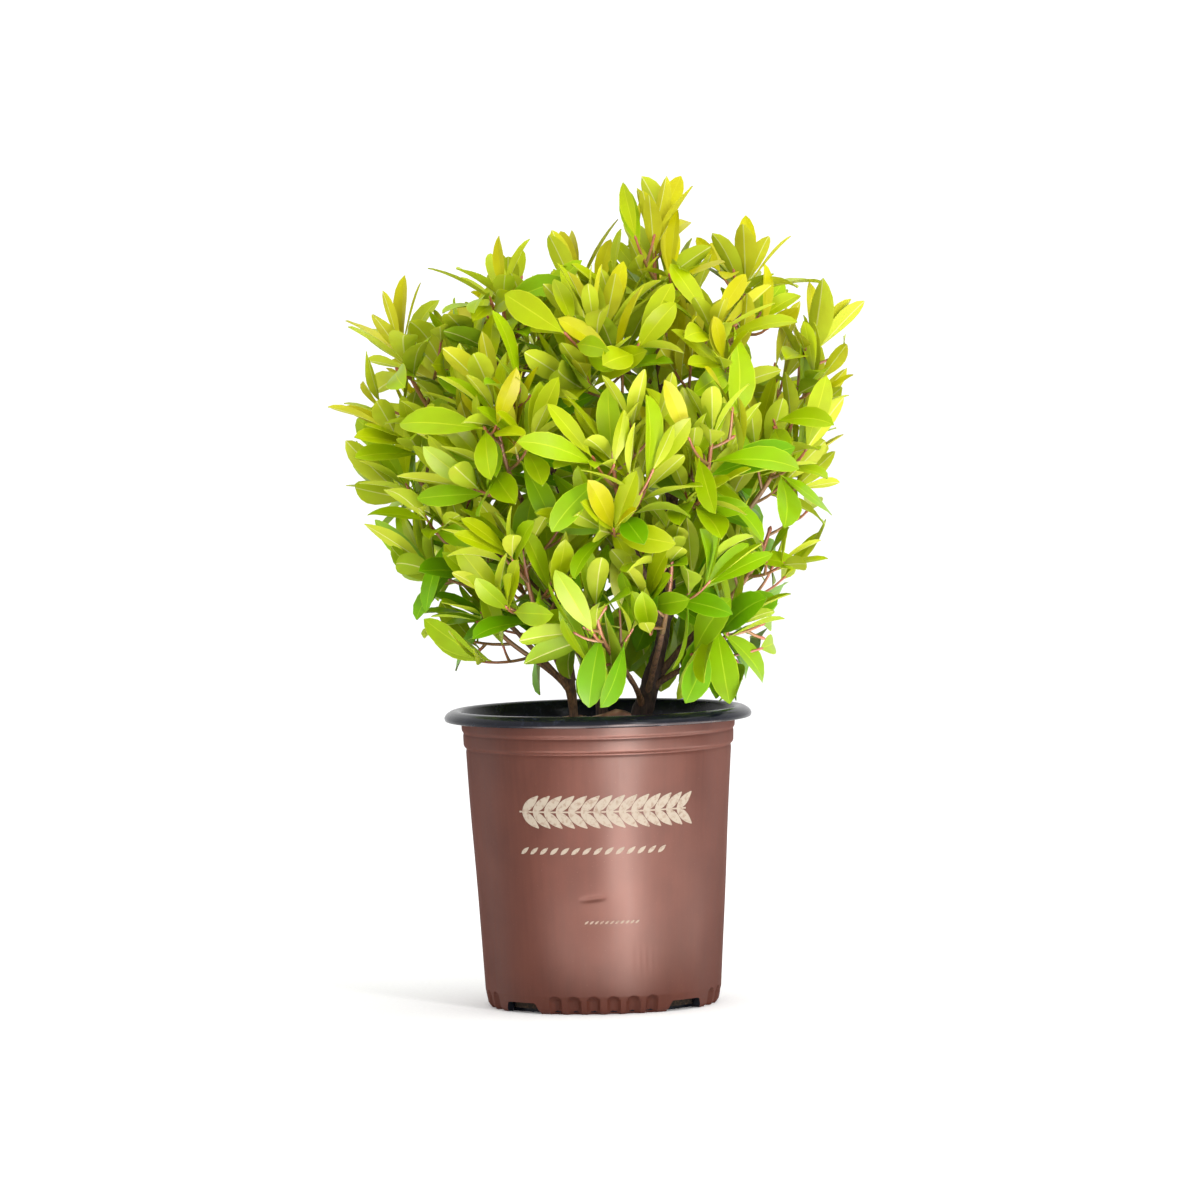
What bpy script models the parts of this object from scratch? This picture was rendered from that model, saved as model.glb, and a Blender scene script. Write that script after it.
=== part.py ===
"""Potted anise tree: a young evergreen shrub, as sold in a two-gallon nursery pot.

The frame is +Z up, with the origin at the middle of the pot's flat underside. -Y is the side
that is seen, and +X is on its right. Sizes are in millimetres, and metres only where a mesh is made.

The shrub is built as it grows. Three woody stems stand in the potting mix. Each bough is one
tapering limb that leaves a stem or another bough, and ends where it enters its mass of foliage.
A mass is a stem that goes on from its bough, with side shoots round it, and whorls of leaves on
each shoot. It keeps to its own cell of the crown, so that no two masses meet.
"""

import math
import random

import bmesh
import bpy
from mathutils import Matrix, Vector
from mathutils.bvhtree import BVHTree

METRE = 0.001
GAP = 0.3  # clear space between neighbouring solids
SEAT_GAP = 0.45  # and where a bough sits on one that curves
WELD = 0.001
UP = Vector((0, 0, 1))
GOLDEN_ANGLE = math.radians(137.508)

# The pot: a thin turned shell with two beads under a rolled lip, and a fluted foot.
POT_HEIGHT = 240.0
POT_SEGMENTS = 48
WALL = 1.6
FLOOR = 2.4
FOOT_RADIUS = 91.0
BODY_LOW = (95.4, 14.0)  # radius and height of the body's lower end
BODY_HIGH = (106.9, 207.0)
BAND_RADIUS = 108.8
COLLAR_RADIUS = 110.2
FOOT_INNER_RADIUS = 87.0  # the foot is thick enough to take the flutes
FLUTES_PER_GROUP = 6
FLUTE_PITCH = 9.7  # degrees
FLUTE_RADIUS = 4.7
FLUTE_SIDES = 8
FLUTE_AXIS = 96.4  # distance of a flute's own axis from the pot's
FLUTE_HEIGHT = 14.5
DRAIN_HEIGHT = 8.5  # four low drain slots, between the groups of flutes
DRAIN_WIDTHS = (42.0, 30.0)  # at the floor and at the top
DRAIN_REACH = (80.0, 110.0)
BELOW = 2.0  # how far a cutter runs past the underside
SMOOTH_ANGLE = math.radians(30)

# The potting mix: it fills the pot to a little under the rim.
SOIL_TOP = 226.0
SOIL_FLAT_RADIUS = 84.0
SOIL_EDGE_DIP = 3.0

# Stems: foot (x, y), tip (x, y, z), radius at foot and tip, and how far the roots flare.
STEMS = {
    "trunk": ((33, -4), (46, -6, 268), 8.8, 7.0, 1.5),
    "left_stem": ((-19, -8), (-21, -7, 262), 3.7, 3.3, 1.35),
    "rear_stem": ((4, 28), (0, 36, 300), 5.2, 4.3, 1.35),
}
FLARE_HEIGHT = 9.0
STEM_SIDES = 8

# Boughs and their masses: what the bough grows from, how far along it, the heart of the mass,
# how far its leader rises past the heart, and the bough's radius where it starts.
# A share of 1 carries on from the tip.
MASSES = {
    "crown_top": ("trunk", 1.0, (53, -10, 580), 34, 5.6),
    "right_low": ("trunk", 0.64, (136, -12, 366), 24, 3.4),
    "right_foot": ("trunk", 0.6, (102, -34, 294), 14, 2.6),
    "front_right_low": ("trunk", 0.45, (60, -94, 346), 22, 2.6),
    "front_low": ("trunk", 0.25, (2, -108, 312), 16, 2.4),
    "front_centre": ("crown_top", 0.1, (18, -146, 424), 26, 2.6),
    "right_mid": ("crown_top", 0.16, (154, -24, 446), 24, 2.8),
    "front_right": ("crown_top", 0.3, (92, -112, 438), 28, 2.6),
    "right_up": ("crown_top", 0.42, (174, 24, 504), 22, 2.6),
    "front_right_up": ("crown_top", 0.48, (96, -80, 520), 24, 2.4),
    "front_top": ("crown_top", 0.56, (8, -94, 522), 28, 2.4),
    "top_right": ("crown_top", 0.66, (122, 12, 556), 24, 2.4),
    "top_mid": ("crown_top", 0.78, (-6, 34, 562), 18, 2.3),
    "top_left": ("left_stem", 1.0, (-68, -12, 548), 28, 3.0),
    "left_foot": ("left_stem", 0.72, (-84, -16, 312), 12, 2.5),
    "front_left_low": ("left_stem", 0.35, (-54, -94, 350), 22, 2.3),
    "left_low": ("left_foot", 0.2, (-114, -26, 374), 22, 2.0),
    "left_mid": ("top_left", 0.2, (-150, -12, 444), 24, 2.4),
    "left_up": ("top_left", 0.45, (-146, 0, 512), 20, 2.2),
    "front_left": ("top_left", 0.38, (-72, -108, 456), 28, 2.2),
    "back_top": ("rear_stem", 1.0, (-62, 92, 528), 34, 4.0),
    "back_low_right": ("rear_stem", 0.62, (68, 88, 330), 20, 2.6),
    "back_low_left": ("rear_stem", 0.45, (-60, 88, 332), 20, 2.6),
    "back_centre": ("rear_stem", 0.8, (2, 146, 408), 28, 2.8),
    "back_right": ("back_top", 0.22, (108, 106, 436), 28, 2.6),
    "back_left": ("back_top", 0.36, (-110, 106, 440), 28, 2.5),
    "back_right_up": ("back_top", 0.5, (58, 100, 522), 28, 2.5),
}
BOUGH_TIP_RADIUS = 1.9
BOUGH_TAPER = 1.2  # the power by which a bough thins, over 1 for a fat foot
LEADER_TIP_RADIUS = 1.3
PARENT_PULL = 0.45  # how far a side bough first runs along its parent
UPTURN = 0.75  # how far a bough turns up by its heart
LEADER_UPTURN = 0.06
FIRST_HANDLE = 0.35  # lengths of the curve's two handles, as shares of the bough's
LAST_HANDLE = 0.3
PATH_STEPS = 48
BOUGH_SIDES = 5
BOUGH_RINGS = 6
LEADER_SIDES = 4
LEADER_RINGS = 4

# The space of a mass: its cell of the crown, in reach of its heart, and inside the crown's own
# outline, which is told as height, middle in X and half width, from the lowest leaf to the top.
MASS_ENTRY = 58.0  # a bough ends this far from the heart, measured along it,
SHORT_ENTRY = 0.55  # or this share of a short limb
MASS_REACH = 122.0
CELL_MARGIN = 0.5
CROWN_OUTLINE = (
    (245, 12, 122),
    (264, 14, 137),
    (300, 5, 148),
    (350, 12, 182),
    (410, 2, 207),
    (470, 0, 214),
    (530, 6, 212),
    (556, 14, 210),
    (580, 14, 172),
    (620, 46, 130),
    (668, 55, 36),
)
LIMB_CLEARANCE = 0.8

# Shoots and leaves, by the plant's own rule.
SIDE_SHOOTS = 4
SHOOT_SHARES = (0.12, 0.68)  # where the first and the last leave the leader
SHOOT_LENGTHS = (34.0, 54.0)
SHOOT_TILTS = (50.0, 66.0)  # degrees to the leader
SHOOT_UPTURN = 0.8
SHOOT_RADII = (1.5, 1.1)
SHOOT_SIDES = 3
SHOOT_RINGS = 3
SEED = 6
# Whorls down a shoot: distance from the tip, number of leaves, their length, their angle to the
# shoot, and how far their weight bends them down. The leaves are fewer and broader than life, so
# that the crown is as full.
WHORLS = (
    (1.0, 2, 54.0, 22.0, 0.0),
    (7.0, 4, 76.0, 54.0, 0.1),
    (27.0, 2, 80.0, 80.0, 0.3),
    (48.0, 2, 80.0, 88.0, 0.5),
    (70.0, 1, 78.0, 88.0, 0.6),
)
WHORL_REACH = 0.85  # no whorl is nearer a shoot's foot than this share of its length
TURN_SPREAD = 0.25  # radians that a leaf may be off its place in the whorl
TILT_SPREAD = 9.0
SIZE_SPREAD = (0.88, 1.1)
# A leaf that doesn't fit is turned up or down its shoot, or made smaller: degrees, share of its size.
FITTINGS = ((0, 1), (-20, 1), (0, 0.8), (-40, 0.9), (25, 0.85), (-20, 0.75))
LEAF_BREADTH = 0.42  # share of its length
LEAF_THICKNESS = 0.022
LEAF_WIDEST = 0.55
LEAF_ARCH = 0.07
LEAF_ROOT = 0.2  # how far from the twig's axis a leaf starts
LEAF_NEAR = 0.05  # the share of its length where leaves of one whorl may touch

COLOURS = {  # colour, roughness
    "pot": ((0.160, 0.058, 0.040), 0.42),
    "soil": ((0.035, 0.022, 0.014), 0.95),
    "bark": ((0.120, 0.070, 0.042), 0.85),
    "foliage": ((0.330, 0.420, 0.020), 0.50),
}


def clear_scene():
    for obj in list(bpy.data.objects):
        bpy.data.objects.remove(obj)


def finish_material(name):
    colour, roughness = COLOURS[name]
    material = bpy.data.materials.new(name)
    material.use_nodes = True
    shader = material.node_tree.nodes["Principled BSDF"]
    shader.inputs["Base Color"].default_value = (*colour, 1)
    shader.inputs["Roughness"].default_value = roughness
    shader.inputs["Metallic"].default_value = 0
    return material


def object_of(name, points, faces, material=None, collection=None):
    """An object from points in millimetres."""
    mesh = bpy.data.meshes.new(name)
    mesh.from_pydata([Vector(p) * METRE for p in points], [], faces)
    obj = bpy.data.objects.new(name, mesh)
    if material:
        mesh.materials.append(material)
    (collection or bpy.context.scene.collection).objects.link(obj)
    return obj


def helpers(name):
    """A collection for the pieces that one Boolean takes up."""
    collection = bpy.data.collections.new(name)
    bpy.context.scene.collection.children.link(collection)
    return collection


def combine(obj, pieces, operation):
    """Applies one Boolean of obj with the whole collection, which is then removed."""
    modifier = obj.modifiers.new("combine", "BOOLEAN")
    modifier.operation = operation
    modifier.operand_type = "COLLECTION"
    modifier.collection = pieces
    modifier.solver = "EXACT"
    graph = bpy.context.evaluated_depsgraph_get()
    result = bpy.data.meshes.new_from_object(obj.evaluated_get(graph))
    obj.modifiers.clear()
    old = obj.data
    obj.data = result
    bpy.data.meshes.remove(old)
    for piece in list(pieces.objects):
        bpy.data.objects.remove(piece)
    bpy.data.collections.remove(pieces)


# Turned pieces: the pot and what fills it


def turned(name, profile, segments, material=None, collection=None):
    """A solid of revolution, spun from a closed profile of (radius, height)."""
    shell = bmesh.new()
    corners = [shell.verts.new(Vector((radius, 0, height)) * METRE) for radius, height in profile]
    edges = [shell.edges.new(pair) for pair in zip(corners, corners[1:])]
    bmesh.ops.spin(
        shell,
        geom=corners + edges,
        cent=(0, 0, 0),
        axis=UP,
        angle=2 * math.pi,
        steps=segments,
        use_merge=True,
    )
    bmesh.ops.remove_doubles(shell, verts=shell.verts, dist=WELD * METRE)
    bmesh.ops.recalc_face_normals(shell, faces=shell.faces)
    obj = object_of(name, [], [], material, collection)
    shell.to_mesh(obj.data)
    shell.free()
    obj.data.shade_smooth()
    return obj


def pot_profile():
    """The shell's section: up the outside, over the rolled lip, and down the inside."""
    low_radius, low_height = BODY_LOW
    high_radius, high_height = BODY_HIGH
    foot = [(0, 0), (FOOT_RADIUS, 0), (FOOT_RADIUS + 3.2, 2.6), (low_radius, low_height)]
    beads = [
        (high_radius, high_height),
        (BAND_RADIUS, high_height + 3.5),
        (BAND_RADIUS + 0.3, 220.5),
        (COLLAR_RADIUS, 222.5),
        (COLLAR_RADIUS + 0.5, 232.0),
    ]
    lip = [
        (113.4, 237.6),
        (118.6, 236.9),
        (121.9, 234.0),
        (121.6, 230.9),
        (123.5, 231.0),
        (124.4, 233.8),
        (122.6, 236.8),
        (118.4, 239.4),
        (114.2, POT_HEIGHT),
        (110.8, 238.6),
    ]
    return foot + beads + lip + pot_inside() + [(0, FLOOR)]


def pot_inside():
    """The inner wall, from under the lip down to the floor's edge."""
    return [
        (COLLAR_RADIUS - WALL, 230.0),
        (BODY_HIGH[0] - WALL, BODY_HIGH[1]),
        (BODY_LOW[0] - WALL + 0.4, 22.0),
        (FOOT_INNER_RADIUS, 16.0),
        (FOOT_INNER_RADIUS - 1.5, FLOOR),
    ]


def flute_cutter(angle, collection):
    """A round-topped bullet that scoops one flute out of the foot."""
    profile = [
        (0, -BELOW),
        (FLUTE_RADIUS, -BELOW),
        (FLUTE_RADIUS, FLUTE_HEIGHT - 4.4),
        (FLUTE_RADIUS * 0.72, FLUTE_HEIGHT - 1.3),
        (0, FLUTE_HEIGHT),
    ]
    cutter = turned("flute_cutter", profile, FLUTE_SIDES, collection=collection)
    half_side = Matrix.Rotation(angle + math.pi / FLUTE_SIDES, 4, "Z")
    cutter.matrix_world = Matrix.Translation(outward(angle) * FLUTE_AXIS * METRE) @ half_side


def drain_cutter(angle, collection):
    """A wedge that opens the corner of wall and floor, wider at the floor."""
    wide, narrow = (width / 2 for width in DRAIN_WIDTHS)
    near, far = DRAIN_REACH
    section = [
        (-wide, -BELOW),
        (wide, -BELOW),
        (wide, 1.5),
        (narrow, DRAIN_HEIGHT),
        (-narrow, DRAIN_HEIGHT),
        (-wide, 1.5),
    ]
    shell = bmesh.new()
    face = shell.faces.new([shell.verts.new(Vector((near, x, z)) * METRE) for x, z in section])
    grown = bmesh.ops.extrude_face_region(shell, geom=[face], use_keep_orig=True)["geom"]
    ends = [part for part in grown if isinstance(part, bmesh.types.BMVert)]
    bmesh.ops.translate(shell, verts=ends, vec=(METRE * (far - near), 0, 0))
    bmesh.ops.recalc_face_normals(shell, faces=shell.faces)
    cutter = object_of("drain_cutter", [], [], collection=collection)
    shell.to_mesh(cutter.data)
    shell.free()
    cutter.rotation_euler.z = angle


def outward(angle):
    return Vector((math.cos(angle), math.sin(angle), 0))


def make_pot(material):
    pot = turned("pot", pot_profile(), POT_SEGMENTS, material)
    cutters = helpers("foot_cutters")
    first = -(FLUTES_PER_GROUP - 1) / 2 * FLUTE_PITCH
    for quarter in range(4):
        for i in range(FLUTES_PER_GROUP):
            flute_cutter(math.radians(90 * quarter + first + i * FLUTE_PITCH), cutters)
        drain_cutter(math.radians(90 * quarter + 45), cutters)
    combine(pot, cutters, "DIFFERENCE")
    pot.data.set_sharp_from_angle(angle=SMOOTH_ANGLE)


def make_soil(material):
    """The root ball: the pot's inside, less the gap, to a level top with a sunken edge."""
    facet = math.cos(math.pi / POT_SEGMENTS)
    inner = [(radius * facet - 2 * GAP, height) for radius, height in pot_inside()]
    _, (high, high_z), (low, low_z), foot, (floor, floor_z) = inner
    edge_z = SOIL_TOP - SOIL_EDGE_DIP
    edge = high + (edge_z - high_z) * (high - low) / (high_z - low_z)
    profile = [
        (0, floor_z + GAP),
        (floor, floor_z + GAP),
        foot,
        (low, low_z),
        (edge, edge_z),
        (SOIL_FLAT_RADIUS, SOIL_TOP),
        (0, SOIL_TOP),
    ]
    turned("soil", profile, POT_SEGMENTS, material)


# Limbs


class Limb:
    """A path of points, with a radius and a direction at each."""

    def __init__(self, points, radii, ways=None):
        self.points = points
        self.radii = radii
        after = points[1:] + points[-1:]
        before = points[:1] + points[:-1]
        self.ways = ways or [(b - a).normalized() for a, b in zip(before, after)]

    def run(self):
        return sum((b - a).length for a, b in zip(self.points, self.points[1:]))

    def at(self, share):
        """Point, direction and radius at a share of the length."""
        place = min(max(share, 0), 1) * (len(self.points) - 1)
        i = min(int(place), len(self.points) - 2)
        part = place - i
        point = self.points[i].lerp(self.points[i + 1], part)
        radius = self.radii[i] + (self.radii[i + 1] - self.radii[i]) * part
        return point, (self.points[i + 1] - self.points[i]).normalized(), radius

    def clearance(self, point):
        """How far a point is from the limb's surface."""
        return min(
            (point - near_on(point, a, b)).length - max(self.radii[i], self.radii[i + 1])
            for i, (a, b) in enumerate(zip(self.points, self.points[1:]))
        )

    def part(self, start, end, rings):
        """The stretch between two shares, as a limb of that many even rings."""
        places = [self.at(start + (end - start) * i / (rings - 1)) for i in range(rings)]
        points, ways, radii = (list(column) for column in zip(*places))
        return Limb(points, radii, ways)

    def fatter(self, extra):
        return Limb(self.points, [radius + extra for radius in self.radii], self.ways)


def near_on(point, a, b):
    along = b - a
    share = (point - a).dot(along) / along.length_squared
    return a + along * min(max(share, 0), 1)


def even_steps(a, b, c, d, steps):
    """A cubic curve with handles b and c, as points at even distances, and its length."""
    fine = [
        a * (1 - t) ** 3 + b * (3 * t * (1 - t) ** 2) + c * (3 * t * t * (1 - t)) + d * t**3
        for t in (i / (steps * 4) for i in range(steps * 4 + 1))
    ]
    lengths = [0.0]
    for p, q in zip(fine, fine[1:]):
        lengths.append(lengths[-1] + (q - p).length)
    points, i = [], 0
    for k in range(steps + 1):
        target = lengths[-1] * k / steps
        while i < len(fine) - 2 and lengths[i + 1] < target:
            i += 1
        part = (target - lengths[i]) / (lengths[i + 1] - lengths[i])
        points.append(fine[i].lerp(fine[i + 1], part))
    return points, lengths[-1]


def ring_axes(way):
    side = way.orthogonal().normalized()
    return side, way.cross(side).normalized()


def ring_of(centre, side, across, radius, sides):
    return [
        centre + (side * math.cos(turn) + across * math.sin(turn)) * radius
        for turn in (2 * math.pi * k / sides for k in range(sides))
    ]


def tube(name, limb, sides, material=None, collection=None):
    """A closed tube of flat-ended rings, carried along the path without twisting."""
    before = limb.ways[0]
    side, _ = ring_axes(before)
    points = []
    last = len(limb.points) - 1
    for centre, radius, way in zip(limb.points, limb.radii, limb.ways):
        side = before.rotation_difference(way) @ side
        before = way
        points += ring_of(centre, side, way.cross(side), radius, sides)
    faces = [list(range(sides))[::-1], list(range(last * sides, (last + 1) * sides))]
    for low in range(0, last * sides, sides):
        high = low + sides
        for k in range(sides):
            j = (k + 1) % sides
            faces.append((low + k, low + j, high + j, high + k))
    return object_of(name, points, faces, material, collection)


def stem_limb(foot, tip, foot_radius, tip_radius, flare):
    """A stem from its flat cut on the soil, flared at the roots, to its fork."""
    start = Vector((*foot, SOIL_TOP + GAP))
    end = Vector(tip)
    flared = FLARE_HEIGHT / (end - start).length
    points, radii = [], []
    for share in (0, 0.3 * flared, flared, 0.6, 1):
        points.append(start.lerp(end, share))
        spread = 1 + (flare - 1) * max(0, 1 - share / flared) ** 2
        radii.append((foot_radius + (tip_radius - foot_radius) * share) * spread)
    return Limb(points, radii)


def make_stem(name, limb, material):
    """A stem whose foot is cut level."""
    stem = tube(name, limb, STEM_SIDES, material)
    for vertex in stem.data.vertices[:STEM_SIDES]:
        vertex.co.z = limb.points[0].z * METRE
    stem.data.shade_smooth()
    return stem


def bough_path(parent, share, heart, rise, start_radius):
    """The whole limb of a mass, from its parent to the heart and on to the leader's tip."""
    start, parent_way, _ = parent.at(share)
    towards = (heart - start).normalized()
    length = (heart - start).length
    leave = parent_way if share == 1 else (parent_way * PARENT_PULL + towards).normalized()
    arrive = (towards + UP * UPTURN).normalized()
    first = start + leave * length * FIRST_HANDLE
    last = heart - arrive * length * LAST_HANDLE
    points, run = even_steps(start, first, last, heart, PATH_STEPS)
    radii = []
    for i in range(PATH_STEPS + 1):
        left = 1 - i / PATH_STEPS
        radii.append(BOUGH_TIP_RADIUS + (start_radius - BOUGH_TIP_RADIUS) * left**BOUGH_TAPER)
    steps = max(2, round(rise * PATH_STEPS / run))
    way = (points[-1] - points[-2]).normalized()
    for i in range(1, steps + 1):
        way = (way + UP * LEADER_UPTURN).normalized()
        points.append(points[-1] + way * rise / steps)
        radii.append(BOUGH_TIP_RADIUS + (LEADER_TIP_RADIUS - BOUGH_TIP_RADIUS) * i / steps)
    return Limb(points, radii), run


def clear_start(limb, others):
    """The share of the limb where its first ring comes clear of the limbs that were there before."""
    steps = 800
    for i in range(steps):
        centre, way, radius = limb.at(i / steps)
        ring = ring_of(centre, *ring_axes(way), radius, 12)
        if min(other.clearance(point) for other in others for point in ring) >= GAP:
            return i / steps
    raise ValueError("a bough never leaves its parent")


def seat(bough, way, parent):
    """Slides the bough's first ring back along its way, to a plane that lies on its parent's face."""
    ring = bough.data.vertices[:BOUGH_SIDES]
    centre = sum((vertex.co for vertex in ring), Vector()) / BOUGH_SIDES / METRE
    place, normal, _, _ = tree_of([parent.copy()]).ray_cast(centre, -way)
    for vertex in ring:
        height = (vertex.co / METRE - place).dot(normal) - SEAT_GAP
        vertex.co -= way * (height / way.dot(normal) * METRE)


# The crown's cells


def in_crown(point):
    for low, high in zip(CROWN_OUTLINE, CROWN_OUTLINE[1:]):
        if low[0] <= point.z <= high[0]:
            share = (point.z - low[0]) / (high[0] - low[0])
            middle, half = (a + (b - a) * share for a, b in zip(low[1:], high[1:]))
            return math.hypot(point.x - middle, point.y) <= half
    return False


class Space:
    """What one mass may fill: nearer its own heart than any other, in reach, and in the crown."""

    def __init__(self, heart, others):
        self.heart = heart
        self.walls = []
        for other in others:
            normal = (other - heart).normalized()
            self.walls.append((normal, normal.dot((heart + other) / 2) - CELL_MARGIN))

    def holds(self, point):
        if (point - self.heart).length > MASS_REACH or not in_crown(point):
            return False
        return all(normal.dot(point) <= limit for normal, limit in self.walls)


def tree_of(objects):
    """One tree, in millimetres, for testing what touches the objects, which are then removed."""
    shell = bmesh.new()
    for obj in objects:
        shell.from_mesh(obj.data)
        bpy.data.objects.remove(obj)
    bmesh.ops.scale(shell, vec=[1 / METRE] * 3, verts=shell.verts)
    tree = BVHTree.FromBMesh(shell)
    shell.free()
    return tree


# Shoots and leaves


def shoot_limb(start, way, length):
    """A side shoot that leaves at an angle and turns up to the light."""
    finish = (way + UP * SHOOT_UPTURN).normalized()
    first = start + way * length * 0.4
    last = start + way * length * 0.55 + finish * length * 0.25
    points, _ = even_steps(start, first, last, last + finish * length * 0.25, SHOOT_RINGS - 1)
    low, high = SHOOT_RADII
    radii = [low + (high - low) * i / (SHOOT_RINGS - 1) for i in range(SHOOT_RINGS)]
    return Limb(points, radii)


def shoots_of(leader, draw):
    """The shoots that branch from the leader at the golden angle."""
    low, high = SHOOT_SHARES
    for k in range(SIDE_SHOOTS):
        start, way, _ = leader.at(low + (high - low) * k / (SIDE_SHOOTS - 1))
        side, across = ring_axes(way)
        turn = GOLDEN_ANGLE * k + draw.uniform(-TURN_SPREAD, TURN_SPREAD)
        tilt = math.radians(draw.uniform(*SHOOT_TILTS))
        out = side * math.cos(turn) + across * math.sin(turn)
        yield shoot_limb(start, way * math.cos(tilt) + out * math.sin(tilt), draw.uniform(*SHOOT_LENGTHS))


def leaves_of(shoot, draw):
    """Each leaf on a shoot, as a list of the corners it may have, the best first."""
    run = shoot.run()
    turn = draw.uniform(0, 2 * math.pi)
    for distance, count, length, angle, sag in WHORLS:
        if distance > run * WHORL_REACH:
            return
        root, way, _ = shoot.at(1 - distance / run)
        side, across = ring_axes(way)
        for k in range(count):
            around = turn + 2 * math.pi * k / count + draw.uniform(-TURN_SPREAD, TURN_SPREAD)
            out = side * math.cos(around) + across * math.sin(around)
            tilt = angle + draw.uniform(-TILT_SPREAD, TILT_SPREAD)
            size = length * draw.uniform(*SIZE_SPREAD)
            yield [
                leaf_points(root, way, out, math.radians(tilt + lean), sag, size * share)
                for lean, share in FITTINGS
            ]
        turn += GOLDEN_ANGLE


def leaf_points(root, way, out, tilt, sag, length):
    """Root, tip, both margins and the keel of the midrib below: the five corners of a leaf."""
    along = (way * math.cos(tilt) + out * math.sin(tilt) - UP * sag).normalized()
    across = along.cross(way * math.sin(tilt) - out * math.cos(tilt)).normalized()
    upper = across.cross(along)
    start = root + along * LEAF_ROOT
    middle = start + along * (length * LEAF_WIDEST) + upper * (length * LEAF_ARCH)
    half = across * (length * LEAF_BREADTH / 2)
    keel = middle - upper * (length * LEAF_THICKNESS)
    return [start, start + along * length, middle - half, middle + half, keel]


LEAF_FACES = [(0, 3, 2), (1, 2, 3), (0, 2, 4), (0, 4, 3), (1, 4, 2), (1, 3, 4)]


def leaf_tree(points, start=0.0):
    """A leaf for testing, without the share of it next to its twig."""
    root, tip = points[:2]
    return BVHTree.FromPolygons([root.lerp(tip, start), *points[1:]], LEAF_FACES)


def make_mass(name, leader, space, limbs, material):
    """One mass of foliage: its leader, and the shoots and leaves that fit, fused into one solid."""
    draw = random.Random(f"{SEED} {name}")
    pieces = helpers(f"{name}_pieces")
    leader = leader.part(0, 1, LEADER_RINGS)
    mass = tube(f"mass_{name}", leader, LEADER_SIDES, material)
    shoots = [leader]
    for shoot in shoots_of(leader, draw):
        twig = tube("shoot", shoot, SHOOT_SIDES, collection=pieces)
        free = [vertex.co / METRE for vertex in twig.data.vertices[SHOOT_SIDES:]]
        if all(space.holds(point) for point in free) and not tree_of([twig.copy()]).overlap(limbs):
            shoots.append(shoot)
        else:
            bpy.data.objects.remove(twig)
    kept = []
    for shoot in shoots:
        for choices in leaves_of(shoot, draw):
            for points in choices:
                outer = leaf_tree(points, LEAF_NEAR)
                if (
                    all(space.holds(point) for point in points)
                    and not leaf_tree(points).overlap(limbs)
                    and not any(outer.overlap(other) for other in kept)
                ):
                    object_of("leaf", points, LEAF_FACES, collection=pieces)
                    kept.append(outer)
                    break
    combine(mass, pieces, "UNION")


def make_plant(bark, foliage):
    limbs = {name: stem_limb(*row) for name, row in STEMS.items()}
    wood = {name: make_stem(name, limb, bark) for name, limb in limbs.items()}
    leaders = {}
    for name, (parent, share, heart, rise, radius) in MASSES.items():
        whole, run = bough_path(limbs[parent], share, Vector(heart), rise, radius)
        start = GAP / (run + rise) if share == 1 else clear_start(whole, limbs.values())
        end = (run - min(MASS_ENTRY, SHORT_ENTRY * run)) / (run + rise)
        bough = tube(f"bough_{name}", whole.part(start, end, BOUGH_RINGS), BOUGH_SIDES, bark)
        if share < 1:
            seat(bough, whole.at(start)[1], wood[parent])
        bough.data.shade_smooth()
        wood[name] = bough
        limbs[name] = whole.part(start, end, PATH_STEPS // 2)
        leaders[name] = whole.part(end + GAP / (run + rise), 1, PATH_STEPS // 4)
    for name, leader in leaders.items():
        heart = Vector(MASSES[name][2])
        space = Space(heart, [Vector(row[2]) for other, row in MASSES.items() if other != name])
        others = [*limbs.values(), *(limb for other, limb in leaders.items() if other != name)]
        probes = [tube("probe", limb.fatter(LIMB_CLEARANCE), STEM_SIDES) for limb in others]
        make_mass(name, leader, space, tree_of(probes), foliage)


def main():
    clear_scene()
    make_pot(finish_material("pot"))
    make_soil(finish_material("soil"))
    make_plant(finish_material("bark"), finish_material("foliage"))


main()
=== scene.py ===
import math
import random

import bpy
import numpy as np
from mathutils import Matrix, Vector, noise
from mathutils.bvhtree import BVHTree


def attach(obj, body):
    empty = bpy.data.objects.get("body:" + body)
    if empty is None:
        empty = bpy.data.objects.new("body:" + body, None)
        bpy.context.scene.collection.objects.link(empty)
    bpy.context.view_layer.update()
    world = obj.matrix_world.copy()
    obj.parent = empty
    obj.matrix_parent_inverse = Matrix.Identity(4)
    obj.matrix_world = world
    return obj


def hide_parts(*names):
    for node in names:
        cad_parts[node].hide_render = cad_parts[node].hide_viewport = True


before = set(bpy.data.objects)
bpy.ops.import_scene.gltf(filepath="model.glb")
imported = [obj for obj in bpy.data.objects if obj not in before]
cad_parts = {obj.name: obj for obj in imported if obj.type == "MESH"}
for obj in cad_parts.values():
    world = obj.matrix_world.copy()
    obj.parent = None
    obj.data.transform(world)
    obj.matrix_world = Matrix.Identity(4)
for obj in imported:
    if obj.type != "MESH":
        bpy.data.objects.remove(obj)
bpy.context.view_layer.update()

# The nursery pot: one blow-moulded shell of polyethylene, reddish brown outside and black inside.
# Its wall is under 2 mm thick and runs up over two beads into a lip that is rolled outwards. The
# foot has groups of finger-wide flutes, pressed in by the mould, and drain slots between them.
MM = 0.001
POT_HEIGHT = 240.0
POT_SEGMENTS = 432
BODY_LOW = Vector((95.4, 14.0))  # radius and height
BODY_HIGH = Vector((106.9, 207.0))
FOOT_STEP = 0.6  # between rows of the mesh, from the foot up to the body
WALL_ROWS = ((14.0, 0.8), (16.4, 4.0), (84.0, 1.0), (102.0, 4.0))  # height, and rows' step from there
ROUNDING = 1.4
STRAIGHT = math.radians(178)  # a corner over this isn't rounded
LIP_START = 111.6  # the rolled lip is all that lies further out than this
SKIN_START = 89.5  # and the outside of the wall, all that lies further out than this
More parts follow.
